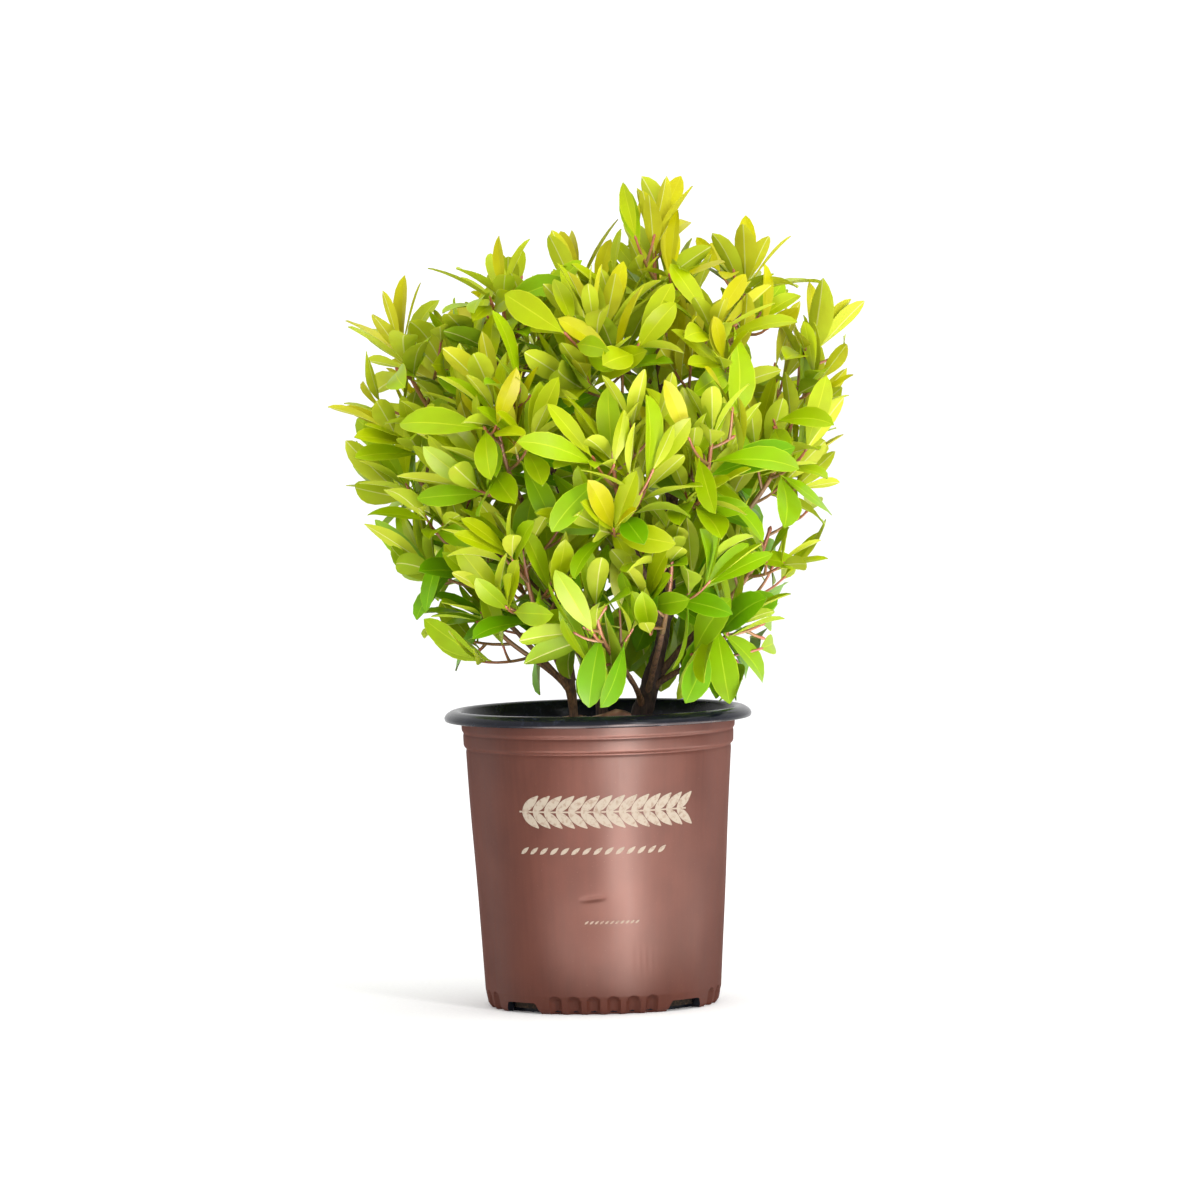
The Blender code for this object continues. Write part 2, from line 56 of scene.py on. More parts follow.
FLUTE_FLOOR = 89.0  # how far in a flute is pressed, just over the foot
FLOOR_END = 59.5  # all that lies further out than this follows the wall's bow
BOW_FULL = 200.0  # the height at which the wall bows most
BOW_END = 236.0
BOW_FADE = 30.0
BOWS = (  # depth, waves round the pot, their start, and the rise in which they turn by a radian
    (0.5, 2, 0.7, math.inf),
    (0.28, 5, 0.0, 37.0),
    (0.16, 11, 0.0, -19.0),
)
CREASE_PLACE = -7.0  # to the right of the front's middle
MARKS = {  # depth, (place right of the crease, reach, edge), (height, reach, edge), slope, waves
    "crease": (0.8, (0.0, 9.0, 4), (93.0, 1.9, 2), 0.1, 0.0),
    "hollow": (0.7, (6.0, 22.0, 2), (80.0, 16.0, 2), 0.0, 0.0),
    "ribs": (-0.11, (40.0, 10.0, 4), (43.0, 11.0, 4), 0.0, 1.2),
}
FLUTES_PER_GROUP = 6
FLUTE_PITCH = math.radians(9.7)
FLUTE_RADIUS = 5.2
FLUTE_DEPTH = 4.2
FLUTE_HEIGHT = 14.5
DRAIN_WIDTH = 42.0
DRAIN_TAPER = 0.72
DRAIN_HEIGHT = 8.5
DRAIN_DEPTH = 30.0
DRAIN_PLACE = 95.0  # from the pot's axis to the middle of the slot's cutter
DRAIN_UNDER = 4.0  # how far the cutter reaches under the foot
DRAIN_ROUNDING = 1.5


def rounded(corners, cut):
    """A profile with each inner corner turned into a small arc, no longer than the cut each way."""
    path = [corners[0]]
    for before, corner, after in zip(corners, corners[1:], corners[2:]):
        back, on = before - corner, after - corner
        if back.angle(on) > STRAIGHT:
            path.append(corner)
            continue
        start = corner + back * min(cut / back.length, 0.45)
        end = corner + on * min(cut / on.length, 0.45)
        path += [start, (start + corner * 2 + end) / 4, end]
    return path + [corners[-1]]


def rows(low, high, step):
    """Even points along a straight stretch of a profile, from its lower end, without the upper."""
    count = max(1, round((high - low).length / step))
    return [low.lerp(high, i / count) for i in range(count)]


def lathe(name, profile, segments):
    """A closed turned piece: a disc whose rim is extruded ring by ring along a profile, then closed."""
    bpy.ops.object.select_all(action="DESELECT")
    radius, height = profile[0]
    bpy.ops.mesh.primitive_circle_add(
        vertices=segments, radius=radius * MM, fill_type="TRIFAN", location=(0, 0, height * MM)
    )
    piece = bpy.context.object
    piece.name = name
    bpy.ops.object.transform_apply(location=True)
    bpy.ops.object.mode_set(mode="EDIT")
    bpy.ops.mesh.select_all(action="SELECT")
    bpy.ops.mesh.region_to_loop()
    for (radius, height), (next_radius, next_height) in zip(profile, profile[1:]):
        rise = (next_height - height) * MM
        grow = next_radius / radius
        bpy.ops.mesh.extrude_edges_move(TRANSFORM_OT_translate={"value": (0, 0, rise)})
        bpy.ops.transform.resize(value=(grow, grow, 1), center_override=(0, 0, next_height * MM))
    bpy.ops.mesh.extrude_edges_move()
    bpy.ops.mesh.merge(type="CENTER")
    bpy.ops.mesh.select_all(action="SELECT")
    bpy.ops.mesh.normals_make_consistent(inside=False)
    bpy.ops.object.mode_set(mode="OBJECT")
    return piece


def moulded(radius, turn, height):
    """Where the wall lies for a nominal radius: bowed a little, creased and ribbed in the front."""
    share = np.clip(height / BOW_FULL, 0, 1) * np.clip((BOW_END - height) / BOW_FADE, 0, 1)
    bow = sum(depth * np.sin(waves * turn + start + height / rise) for depth, waves, start, rise in BOWS)
    wall = radius + bow * share
    aside = (turn + math.pi / 2) * radius - CREASE_PLACE
    for depth, (middle, reach, edge), (level, rise, end), slope, waves in MARKS.values():
        across = ((aside - middle) / reach) ** edge
        upright = ((height - level - aside * slope) / rise) ** end
        wall = wall - depth * (np.exp(-across - upright) * np.cos(aside * waves))
    return wall


def flutes(radius, turn, height):
    """How deep the foot's flutes are there: round-topped scoops, six in each quarter."""
    depth = np.zeros_like(radius)
    above = np.maximum(height - (FLUTE_HEIGHT - FLUTE_RADIUS), 0)
    for quarter in range(4):
        for k in range(FLUTES_PER_GROUP):
            middle = quarter * math.pi / 2 + (k - (FLUTES_PER_GROUP - 1) / 2) * FLUTE_PITCH
            aside = ((turn - middle + math.pi) % (2 * math.pi) - math.pi) * radius
            reach = np.hypot(aside, above) / FLUTE_RADIUS
            depth = np.maximum(depth, FLUTE_DEPTH * np.sqrt(np.clip(1 - reach**2, 0, 1)))
    return depth


foot, heel = Vector((91.0, 0)), Vector((93.2, 2.6))
beads = [(106.2, 208.6), (108.8, 211.0), (109.2, 219.8), (108.6, 221.4), (110.3, 223.4), (110.7, 232.0)]
lip_under = [(112.2, 236.6), (117.6, 237.0), (121.4, 234.4), (121.6, 230.9)]
lip_over = [(123.5, 230.9), (124.4, 233.8), (122.6, 236.8), (118.4, 239.4), (114.2, POT_HEIGHT)]
lining = [(110.8, 238.6), (108.6, 230.0), (105.3, 207.0), (94.2, 22.0), (87.0, 16.0), (85.5, 2.4)]
heights = [height for height, _ in WALL_ROWS] + [BODY_HIGH.y]
levels = [BODY_LOW.lerp(BODY_HIGH, (z - BODY_LOW.y) / (BODY_HIGH.y - BODY_LOW.y)) for z in heights]
profile = [foot, *rows(heel, BODY_LOW, FOOT_STEP)]
for low, high, (_, step) in zip(levels, levels[1:], WALL_ROWS):
    profile += rows(low, high, step)
profile += [BODY_HIGH, *[Vector(corner) for corner in beads + lip_under + lip_over + lining]]
pot = lathe("nursery_pot", rounded(profile, ROUNDING), POT_SEGMENTS)
co = np.zeros(len(pot.data.vertices) * 3)
pot.data.vertices.foreach_get("co", co)
co = co.reshape(-1, 3) / MM
turn, radius, height = np.arctan2(co[:, 1], co[:, 0]), np.hypot(co[:, 0], co[:, 1]), co[:, 2]
wall = np.where(radius > FLOOR_END, moulded(radius, turn, height), radius)
wall -= np.where(radius > SKIN_START, flutes(radius, turn, height), 0)
co[:, 0], co[:, 1] = wall * np.cos(turn), wall * np.sin(turn)
pot.data.vertices.foreach_set("co", (co * MM).ravel())


def alone(piece):
    """Makes a piece the only one that is selected, and the active one."""
    bpy.ops.object.select_all(action="DESELECT")
    piece.select_set(True)
    bpy.context.view_layer.objects.active = piece


def modify(piece, kind, **settings):
    """Adds a modifier with its settings to a piece, and applies it."""
    alone(piece)
    bpy.ops.object.modifier_add(type=kind)
    for name, value in settings.items():
        setattr(piece.modifiers[-1], name, value)
    bpy.ops.object.modifier_apply(modifier=piece.modifiers[-1].name)


def shade(piece, degrees):
    """Shades a piece smooth, with its edges over so many degrees left sharp."""
    alone(piece)
    bpy.ops.object.shade_smooth_by_angle(angle=math.radians(degrees))


bpy.ops.object.select_all(action="DESELECT")
slots = []
for quarter in range(4):
    bpy.ops.mesh.primitive_cube_add(size=1)
    slot = bpy.context.object
    slot.scale = (DRAIN_DEPTH * MM, DRAIN_WIDTH * MM, (DRAIN_HEIGHT + DRAIN_UNDER) * MM)
    bpy.ops.object.transform_apply(scale=True)
    bpy.ops.object.mode_set(mode="EDIT")
    bpy.ops.mesh.select_all(action="DESELECT")
    bpy.ops.object.mode_set(mode="OBJECT")
    for face in slot.data.polygons:
        face.select = face.normal.z > 0.9
    bpy.ops.object.mode_set(mode="EDIT")
    bpy.ops.transform.resize(value=(1, DRAIN_TAPER, 1))
    bpy.ops.object.mode_set(mode="OBJECT")
    aim = math.radians(90 * quarter + 45)
    away, lift = DRAIN_PLACE * MM, (DRAIN_HEIGHT - DRAIN_UNDER) / 2 * MM
    slot.location = (away * math.cos(aim), away * math.sin(aim), lift)
    slot.rotation_euler.z = aim
    slots.append(slot)
for slot in slots:
    slot.select_set(True)
bpy.ops.object.join()
drains = bpy.context.object
bpy.ops.object.transform_apply(location=True, rotation=True, scale=True)
modify(drains, "BEVEL", width=DRAIN_ROUNDING * MM, segments=3)
modify(pot, "BOOLEAN", operation="DIFFERENCE", object=drains)
bpy.data.objects.remove(drains)
shade(pot, 38)


def linear(hex_colour):
    """An sRGB colour such as "#8a5747" as linear light."""
    channels = [int(hex_colour[i : i + 2], 16) / 255 for i in (1, 3, 5)]
    return (*[c / 12.92 if c <= 0.04045 else ((c + 0.055) / 1.055) ** 2.4 for c in channels], 1.0)


def feed(tree, node, inputs):
    """Sets a node's inputs: each takes a value, or another node's socket to be linked from."""
    for name, value in inputs.items():
        if isinstance(value, bpy.types.NodeSocket):
            tree.links.new(value, node.inputs[name])
        else:
            node.inputs[name].default_value = value


def add(tree, kind, inputs, stops=(), **settings):
    """Adds one shader node with its inputs and settings, and a ramp's (place, colour) stops."""
    node = tree.nodes.new(kind)
    for name, value in settings.items():
        setattr(node, name, value)
    feed(tree, node, inputs)
    for i, (position, colour) in enumerate(stops):
        elements = node.color_ramp.elements
        element = elements[i] if i < 2 else elements.new(position)
        element.position = position
        element.color = linear(colour)
    return node


def surface(name, colour, roughness, ior):
    """A new material, with its tree and its shader, and the plain sockets set."""
    material = bpy.data.materials.new(name)
    material.use_nodes = True
    shader = material.node_tree.nodes["Principled BSDF"]
    plain = {"Base Color": linear(colour), "Roughness": roughness, "IOR": ior}
    feed(material.node_tree, shader, plain)
    return material, material.node_tree, shader


# Brown polyethylene, satin from the mould: it gives the eye a broad soft streak down the wall, and its
# fine grain keeps it dull at a glancing view. It is scuffed in upright lines where pots are pulled out
# of one another, a few millimetres apart.
brown, tree, shader = surface("brown_moulded_polyethylene", "#633529", 0.36, 1.52)
place = add(tree, "ShaderNodeTexCoord", {}).outputs["Object"]
upright = add(tree, "ShaderNodeMapping", {"Vector": place, "Scale": (1, 1, 0.06)}).outputs[0]
scuffs = add(tree, "ShaderNodeTexNoise", {"Vector": upright, "Scale": 260.0, "Detail": 3.0}).outputs[0]
clouds = add(tree, "ShaderNodeTexNoise", {"Vector": place, "Scale": 22.0, "Detail": 4.0}).outputs[0]
dust = add(tree, "ShaderNodeTexNoise", {"Vector": place, "Scale": 900.0, "Detail": 2.0}).outputs[0]
patchy = add(tree, "ShaderNodeValToRGB", {"Fac": clouds}, [(0.3, "#5d3125"), (0.7, "#693a2d")])
streaks = add(tree, "ShaderNodeValToRGB", {"Fac": scuffs}, [(0.3, "#747474"), (0.75, "#8e8e8e")])
streaked = add(
    tree,
    "ShaderNodeMix",
    {0: 0.5, 6: patchy.outputs[0], 7: streaks.outputs[0]},
    data_type="RGBA",
    blend_type="SOFT_LIGHT",
)
specks = add(tree, "ShaderNodeMapRange", {"Value": dust, "From Min": 0.7, "From Max": 0.78, "To Max": 0.3})
dusted = add(
    tree,
    "ShaderNodeMix",
    {0: specks.outputs[0], 6: streaked.outputs[2], 7: linear("#9a7466")},
    data_type="RGBA",
)
worn = add(tree, "ShaderNodeMapRange", {"Value": scuffs, "To Min": 0.32, "To Max": 0.46}).outputs[0]
glance = add(tree, "ShaderNodeLayerWeight", {"Blend": 0.5}).outputs["Facing"]
grain = add(tree, "ShaderNodeMapRange", {"Value": glance, "From Min": 0.4, "From Max": 0.75, "To Max": 0.42})
satin = add(tree, "ShaderNodeMath", {0: worn, 1: grain.outputs[0]}, operation="ADD").outputs[0]
relief = add(tree, "ShaderNodeBump", {"Height": scuffs, "Strength": 0.06, "Distance": 0.3 * MM})
feed(tree, shader, {"Base Color": dusted.outputs[2], "Roughness": satin, "Normal": relief.outputs[0]})
feed(tree, shader, {"Specular IOR Level": 0.18})

# Black polyethylene, the inner skin, which also makes the lip: glossy, bluish where it mirrors the
# sky, and rubbed a little grey in places.
black, tree, shader = surface("black_moulded_polyethylene", "#0f111b", 0.24, 1.52)
place = add(tree, "ShaderNodeTexCoord", {}).outputs["Object"]
patchwork = {"Vector": place, "Scale": 140.0, "Detail": 5.0, "Roughness": 0.7}
rubbing = add(tree, "ShaderNodeTexNoise", patchwork).outputs[0]
rubbed = add(tree, "ShaderNodeValToRGB", {"Fac": rubbing}, [(0.55, "#0f111b"), (0.8, "#2c3140")])
ripple = add(tree, "ShaderNodeBump", {"Height": rubbing, "Strength": 0.1, "Distance": 0.5 * MM})
feed(tree, shader, {"Base Color": rubbed.outputs[0], "Normal": ripple.outputs[0]})
feed(tree, shader, {"Specular IOR Level": 0.17})

pot.data.materials.append(brown)
pot.data.materials.append(black)
for face in pot.data.polygons:
    middle = Vector((face.center.x, face.center.y, 0)) / MM
    faces_out = face.normal.dot(middle.normalized()) > -0.1
    on_skin = face.center.z < 1 * MM or (faces_out and middle.length > FLUTE_FLOOR)
    face.material_index = 0 if on_skin and middle.length < LIP_START else 1
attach(pot, "root")
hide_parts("pot")

# The print: a garland of leaves and two rows of small ones below it, a plain ornament in cream ink.
# The ink is screen-printed on the front of the wall, where it follows the wall's bow.
PRINT_HEIGHT = 163.0
PRINT_STEM = (-69.0, 75.0, 1.3)  # the garland's stem: its ends and its breadth
PRINT_LEAF = (20.0, 7.2)  # length and breadth
PRINT_PAIRS = (-66.0, 66.0, 14)  # of leaves: the first, the last and how many
PRINT_SLOPE = 0.85
SMALL_LEAF = (9.0, 3.3)
SMALL_ROWS = ((129.0, -68.0, 14, 1.0), (73.0, -14.0, 11, 0.46))  # height, start, leaves, their size
SMALL_PITCH = 8.9
SMALL_SLOPE = 0.75
PRINT_STEPS = {"stem": 60, "leaf": 8, "small": 5}  # of the mesh, along each kind of stroke
INK = 0.12  # its thickness


def printed(outline):
    """Flat points (distance right of the middle of the front, height) laid on the wall, in metres."""
    flat = np.array(outline, float)
    share = (flat[:, 1] - BODY_LOW.y) / (BODY_HIGH.y - BODY_LOW.y)
    nominal = BODY_LOW.x + (BODY_HIGH.x - BODY_LOW.x) * share
    turn = flat[:, 0] / nominal - math.pi / 2
    wall = moulded(nominal, turn, flat[:, 1]) + INK / 2
    return np.stack([wall * np.cos(turn), wall * np.sin(turn), flat[:, 1]], axis=1) * MM


def strip(start, way, length, breadth, steps, taper):
    """A printed stroke as a strip of quads, as broad at each step as the taper says."""
    along = Vector(way).normalized()
    aside = Vector((-along.y, along.x))
    points, faces = [], []
    for i in range(steps + 1):
        middle = Vector(start) + along * length * i / steps
        half = breadth / 2 * taper(i / steps)
        points += [middle - aside * half, middle, middle + aside * half]
    for i in range(0, 3 * steps, 3):
        faces += [(i, i + 3, i + 4, i + 1), (i + 1, i + 4, i + 5, i + 2)]
    return printed(points), faces


def joined(name, parts):
    """One mesh object of many (points in metres, faces) parts, made from arrays."""
    points, faces, first = [], [], 0
    for part_points, part_faces in parts:
        points.append(np.asarray(part_points, float).reshape(-1, 3))
        faces += [tuple(first + k for k in face) for face in part_faces]
        first += len(points[-1])
    mesh = bpy.data.meshes.new(name)
    mesh.from_pydata(np.concatenate(points).tolist(), [], faces)
    piece = bpy.data.objects.new(name, mesh)
    bpy.context.scene.collection.objects.link(piece)
    return piece


def blade_taper(t):
    """A printed leaf's breadth at a share of its length, broadest a little before the middle."""
    return max(0.06, math.sin(math.pi * t**0.85)) ** 0.8


left, right, breadth = PRINT_STEM
strokes = [strip((left, PRINT_HEIGHT), (1, 0), right - left, breadth, PRINT_STEPS["stem"], lambda t: 1)]
first, last, pairs = PRINT_PAIRS
for k in range(pairs):
    place = (first + k * (last - first) / (pairs - 1), PRINT_HEIGHT)
    for slope in (-PRINT_SLOPE, PRINT_SLOPE):
        strokes.append(strip(place, (1, slope), *PRINT_LEAF, PRINT_STEPS["leaf"], blade_taper))
for height, start, count, size in SMALL_ROWS:
    length, breadth = (size * measure for measure in SMALL_LEAF)
    for k in range(count):
        place = (start + k * SMALL_PITCH * size, height)
        strokes.append(strip(place, (1, SMALL_SLOPE), length, breadth, PRINT_STEPS["small"], blade_taper))
ornament = joined("printed_leaf_ornament", strokes)
modify(ornament, "SOLIDIFY", thickness=INK * MM, offset=0)

# Cream screen ink: matt, flat and even, a little thin where the wall shows through it.
ink, tree, shader = surface("cream_screen_ink", "#ada190", 0.75, 1.48)
place = add(tree, "ShaderNodeTexCoord", {}).outputs["Object"]
cover = add(tree, "ShaderNodeTexNoise", {"Vector": place, "Scale": 350.0, "Detail": 3.0}).outputs[0]
thin = add(tree, "ShaderNodeValToRGB", {"Fac": cover}, [(0.28, "#8f7969"), (0.5, "#ada190")])
feed(tree, shader, {"Base Color": thin.outputs[0], "Specular IOR Level": 0.2})
ornament.data.materials.append(ink)
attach(ornament, "root")

# The potting mix: a firm root ball of composted bark, peat and grit. It fills the pot to a thumb's
# width under the rim, domed a little round the stems, with a crumbly top.
SOIL_EDGE = 223.0
SOIL_RADIUS = 104.0
SOIL_DOME = 5.0
SOIL_CRUMBS = 2.6  # their height
CRUMB_SIZE = 9.0
SOIL_SEGMENTS = 160
SOIL_RINGS = 41
SOIL_RING = 2.5  # between rings of the mesh


def soil_height(x, y):
    """The height of the mix's top at a place, in millimetres."""
    dome = SOIL_DOME * max(0.0, 1 - math.hypot(x, y) / SOIL_RADIUS) ** 0.7
    crumbs = noise.fractal(Vector((x, y, 0)) / CRUMB_SIZE, 0.9, 2.0, 4)
    return SOIL_EDGE + dome + SOIL_CRUMBS * crumbs


side = [(84.6, 2.8), (86.0, 16.0), (93.2, 22.0), (103.9, 207.0), (105.9, SOIL_EDGE)]
top = [(SOIL_RADIUS - 1 - SOIL_RING * i, SOIL_EDGE) for i in range(SOIL_RINGS)]
soil = lathe("bark_potting_mix", [Vector(corner) for corner in side + top], SOIL_SEGMENTS)
for vertex in soil.data.vertices:
    x, y, z = vertex.co / MM
    if z > SOIL_EDGE - 1 and math.hypot(x, y) < SOIL_RADIUS:
        vertex.co.z = soil_height(x, y) * MM
shade(soil, 60)

# Moist composted bark: dark, matt and crumbly, with paler fibres and grit a few millimetres across.
mix, tree, shader = surface("moist_bark_mix", "#2b211a", 0.92, 1.45)
place = add(tree, "ShaderNodeTexCoord", {}).outputs["Object"]
crumb = add(tree, "ShaderNodeTexNoise", {"Vector": place, "Scale": 420.0, "Detail": 5.0, "Roughness": 0.7})
browns = [(0.3, "#17110d"), (0.55, "#34271c"), (0.7, "#5a4530"), (0.8, "#8a7656")]
crumbly = add(tree, "ShaderNodeValToRGB", {"Fac": crumb.outputs[0]}, browns)
lumps = add(tree, "ShaderNodeBump", {"Height": crumb.outputs[0], "Strength": 0.9, "Distance": 1.5 * MM})
feed(tree, shader, {"Base Color": crumbly.outputs[0], "Normal": lumps.outputs[0]})
soil.data.materials.append(mix)
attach(soil, "root")
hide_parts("soil")

# Bark chips: nuggets of pine bark that lie loose on the mix, flat side down. One worn nugget is
# modelled, and each chip is a copy of it with its own size, turn and tilt.
NUGGET_SHAPE = (1, 0.62, 0.3)
NUGGET_WEAR = 0.11  # how far its surface is worn in and out
NUGGET_PITS = 3.1  # how close together
NUGGET_SEED = 1  # without one, the clock seeds noise_vector, and the chips differ from run to run
CHIPS = 210
CHIP_SIZES = (3.0, 8.5)
CHIP_REACH = 100.0  # from the pot's axis
CHIP_LIFT = 1.0
CHIP_TILTS = (0.35, 0.3)  # at most, sideways and lengthwise
LARGE_CHIPS = (  # x, y, length, height over the mix
    (10, -42, 23, 5),
    (46, -40, 17, 6),
    (-4, -62, 14, 3),
    (64, -30, 15, 4),
    (-62, -30, 12, 3),
)
bpy.ops.object.select_all(action="DESELECT")
bpy.ops.mesh.primitive_cube_add(size=1)
nugget = bpy.context.object
bpy.ops.object.mode_set(mode="EDIT")
bpy.ops.mesh.select_all(action="SELECT")
bpy.ops.mesh.subdivide(number_cuts=2, smoothness=0.9)
bpy.ops.transform.resize(value=NUGGET_SHAPE)
bpy.ops.mesh.vertices_smooth(factor=0.4)
bpy.ops.object.mode_set(mode="OBJECT")
nugget_points = np.array([vertex.co for vertex in nugget.data.vertices])
noise.seed_set(NUGGET_SEED)
pits = np.array([noise.noise_vector(vertex.co * NUGGET_PITS) for vertex in nugget.data.vertices])
nugget_points += pits * NUGGET_WEAR
nugget_faces = [tuple(face.vertices) for face in nugget.data.polygons]
bpy.data.objects.remove(nugget)
draw = random.Random("bark chips")
chips = []
for k in range(CHIPS):
    away = CHIP_REACH * math.sqrt(draw.random())
    aim = draw.uniform(0, 2 * math.pi)
    chips.append((away * math.cos(aim), away * math.sin(aim), draw.uniform(*CHIP_SIZES), CHIP_LIFT))
parts = []
for x, y, length, lift in [*LARGE_CHIPS, *chips]:
    spin = draw.uniform(0, 2 * math.pi) if length <= CHIP_SIZES[1] else 0.0
    roll, pitch = (draw.uniform(-most, most) for most in CHIP_TILTS)
    turned = Matrix.Rotation(spin, 3, "Z") @ Matrix.Rotation(roll, 3, "X") @ Matrix.Rotation(pitch, 3, "Y")
    where = np.array((x, y, soil_height(x, y) + lift))
    parts.append(((nugget_points @ np.array(turned).T * length + where) * MM, nugget_faces))
nuggets = joined("pine_bark_chips", parts)
shade(nuggets, 50)

# Weathered pine bark: each nugget is a brown of its own, with flaky layers about a millimetre thick.
bark_chip, tree, shader = surface("weathered_pine_bark", "#6b4a35", 0.85, 1.45)
place = add(tree, "ShaderNodeTexCoord", {}).outputs["Object"]
patch = add(tree, "ShaderNodeTexNoise", {"Vector": place, "Scale": 75.0, "Detail": 1.0}).outputs[0]
tones = [(0.35, "#3a2a20"), (0.5, "#74503a"), (0.62, "#9a7f66")]
toned = add(tree, "ShaderNodeValToRGB", {"Fac": patch}, tones)
flakes = add(tree, "ShaderNodeTexNoise", {"Vector": place, "Scale": 700.0, "Detail": 3.0}).outputs[0]
flaky = add(tree, "ShaderNodeBump", {"Height": flakes, "Strength": 0.6, "Distance": 0.6 * MM})
feed(tree, shader, {"Base Color": toned.outputs[0], "Normal": flaky.outputs[0]})
nuggets.data.materials.append(bark_chip)
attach(nuggets, "root")

# The stems and boughs: three woody stems that stand in the mix, and the limbs that fork from them.
# Each limb tapers, leaves its parent over a swollen collar and turns up to the light. The bark is
# thin and brown, ridged lengthwise, with a ring at each old leaf scar. They grow by the rule that
# their solids follow, from the same sizes.
SOIL_TOP = 226.0
GAP = 0.3  # under each stem's foot
UP = Vector((0, 0, 1))
STEMS = {  # foot, tip, radius at foot and tip, flare of the roots
    "trunk": ((33, -4), (46, -6, 268), 8.8, 7.0, 1.5),
    "left_stem": ((-19, -8), (-21, -7, 262), 3.7, 3.3, 1.35),
    "rear_stem": ((4, 28), (0, 36, 300), 5.2, 4.3, 1.35),
}
FLARE_HEIGHT = 9.0
MASSES = {  # what the bough grows from, how far along it, heart, rise of the leader, radius
    "crown_top": ("trunk", 1.0, (53, -10, 580), 34, 5.6),
    "right_low": ("trunk", 0.64, (136, -12, 366), 24, 3.4),
    "right_foot": ("trunk", 0.6, (102, -34, 294), 14, 2.6),
    "front_right_low": ("trunk", 0.45, (60, -94, 346), 22, 2.6),
    "front_low": ("trunk", 0.25, (2, -108, 312), 16, 2.4),
    "front_centre": ("crown_top", 0.1, (18, -146, 424), 26, 2.6),
    "right_mid": ("crown_top", 0.16, (154, -24, 446), 24, 2.8),
    "front_right": ("crown_top", 0.3, (92, -112, 438), 28, 2.6),
    "right_up": ("crown_top", 0.42, (174, 24, 504), 22, 2.6),
    "front_right_up": ("crown_top", 0.48, (96, -80, 520), 24, 2.4),
    "front_top": ("crown_top", 0.56, (8, -94, 522), 28, 2.4),
    "top_right": ("crown_top", 0.66, (122, 12, 556), 24, 2.4),
    "top_mid": ("crown_top", 0.78, (-6, 34, 562), 18, 2.3),
    "top_left": ("left_stem", 1.0, (-68, -12, 548), 28, 3.0),
    "left_foot": ("left_stem", 0.72, (-84, -16, 312), 12, 2.5),
    "front_left_low": ("left_stem", 0.35, (-54, -94, 350), 22, 2.3),
    "left_low": ("left_foot", 0.2, (-114, -26, 374), 22, 2.0),
    "left_mid": ("top_left", 0.2, (-150, -12, 444), 24, 2.4),
    "left_up": ("top_left", 0.45, (-146, 0, 512), 20, 2.2),
    "front_left": ("top_left", 0.38, (-72, -108, 456), 28, 2.2),
    "back_top": ("rear_stem", 1.0, (-62, 92, 528), 34, 4.0),
    "back_low_right": ("rear_stem", 0.62, (68, 88, 330), 20, 2.6),
    "back_low_left": ("rear_stem", 0.45, (-60, 88, 332), 20, 2.6),
    "back_centre": ("rear_stem", 0.8, (2, 146, 408), 28, 2.8),
    "back_right": ("back_top", 0.22, (108, 106, 436), 28, 2.6),
    "back_left": ("back_top", 0.36, (-110, 106, 440), 28, 2.5),
    "back_right_up": ("back_top", 0.5, (58, 100, 522), 28, 2.5),
}
BOUGH_TIP_RADIUS = 1.9
BOUGH_TAPER = 1.2
LEADER_TIP_RADIUS = 1.3
PARENT_PULL = 0.45
UPTURN = 0.75
LEADER_UPTURN = 0.06
FIRST_HANDLE = 0.35
LAST_HANDLE = 0.3
PATH_STEPS = 48
MASS_ENTRY = 58.0
SHORT_ENTRY = 0.55
LIMB_RINGS = 25  # of a bough that others grow from
LEADER_RINGS = 14
BARK_RING = 2.4  # between rings of the mesh
SIDES = {"trunk": 22, "stem": 16, "thick": 14, "thin": 12}  # of the mesh, round each kind of limb
THICK = 3.0  # a thick bough's radius is more
COLLAR = 0.4  # how much a limb swells where it leaves its parent
COLLAR_FADE = 7.0
STEM_RELIEF = 0.075  # the bark's relief, as a share of the radius
BOUGH_RELIEF = 0.09
RIDGES = (1.5, 2.6, 14.0)  # share of the relief, how close they lie round the limb, and their length
RIDGE_CHANGE = 300.0  # limbs this far apart are ridged in other places
KNOTS = (0.7, 0.8, 5.0)  # the same of the knots
SCARS = (0.35, 17.0, 8.0, 1.2)  # share of the relief, from one ring to the next, the first, breadth
STUB = ("top_left", 0.5, (-0.15, -0.35, 1.0), 36.0, 2.3)  # pruned: limb, share, way, length, radius
STUB_STEPS = 14
AGED_RADIUS = 10.0  # the age map says 1 here


class Limb:
    """A path of points, with a radius and a direction at each."""

    def __init__(self, points, radii):
        self.points = points
        self.radii = radii
        after = points[1:] + points[-1:]
        before = points[:1] + points[:-1]
        self.ways = [(b - a).normalized() for a, b in zip(before, after)]

    def run(self):
        """The length along the path."""
        return sum((b - a).length for a, b in zip(self.points, self.points[1:]))

    def at(self, share):
        """Point, direction and radius at a share of the length."""
        place = min(max(share, 0), 1) * (len(self.points) - 1)
        i = min(int(place), len(self.points) - 2)
        part = place - i
        point = self.points[i].lerp(self.points[i + 1], part)
        radius = self.radii[i] + (self.radii[i + 1] - self.radii[i]) * part
        return point, (self.points[i + 1] - self.points[i]).normalized(), radius

    def part(self, start, end, rings):
        """The stretch between two shares, as a limb of that many even rings."""
        places = [self.at(start + (end - start) * i / (rings - 1)) for i in range(rings)]
        return Limb([point for point, _, _ in places], [radius for _, _, radius in places])


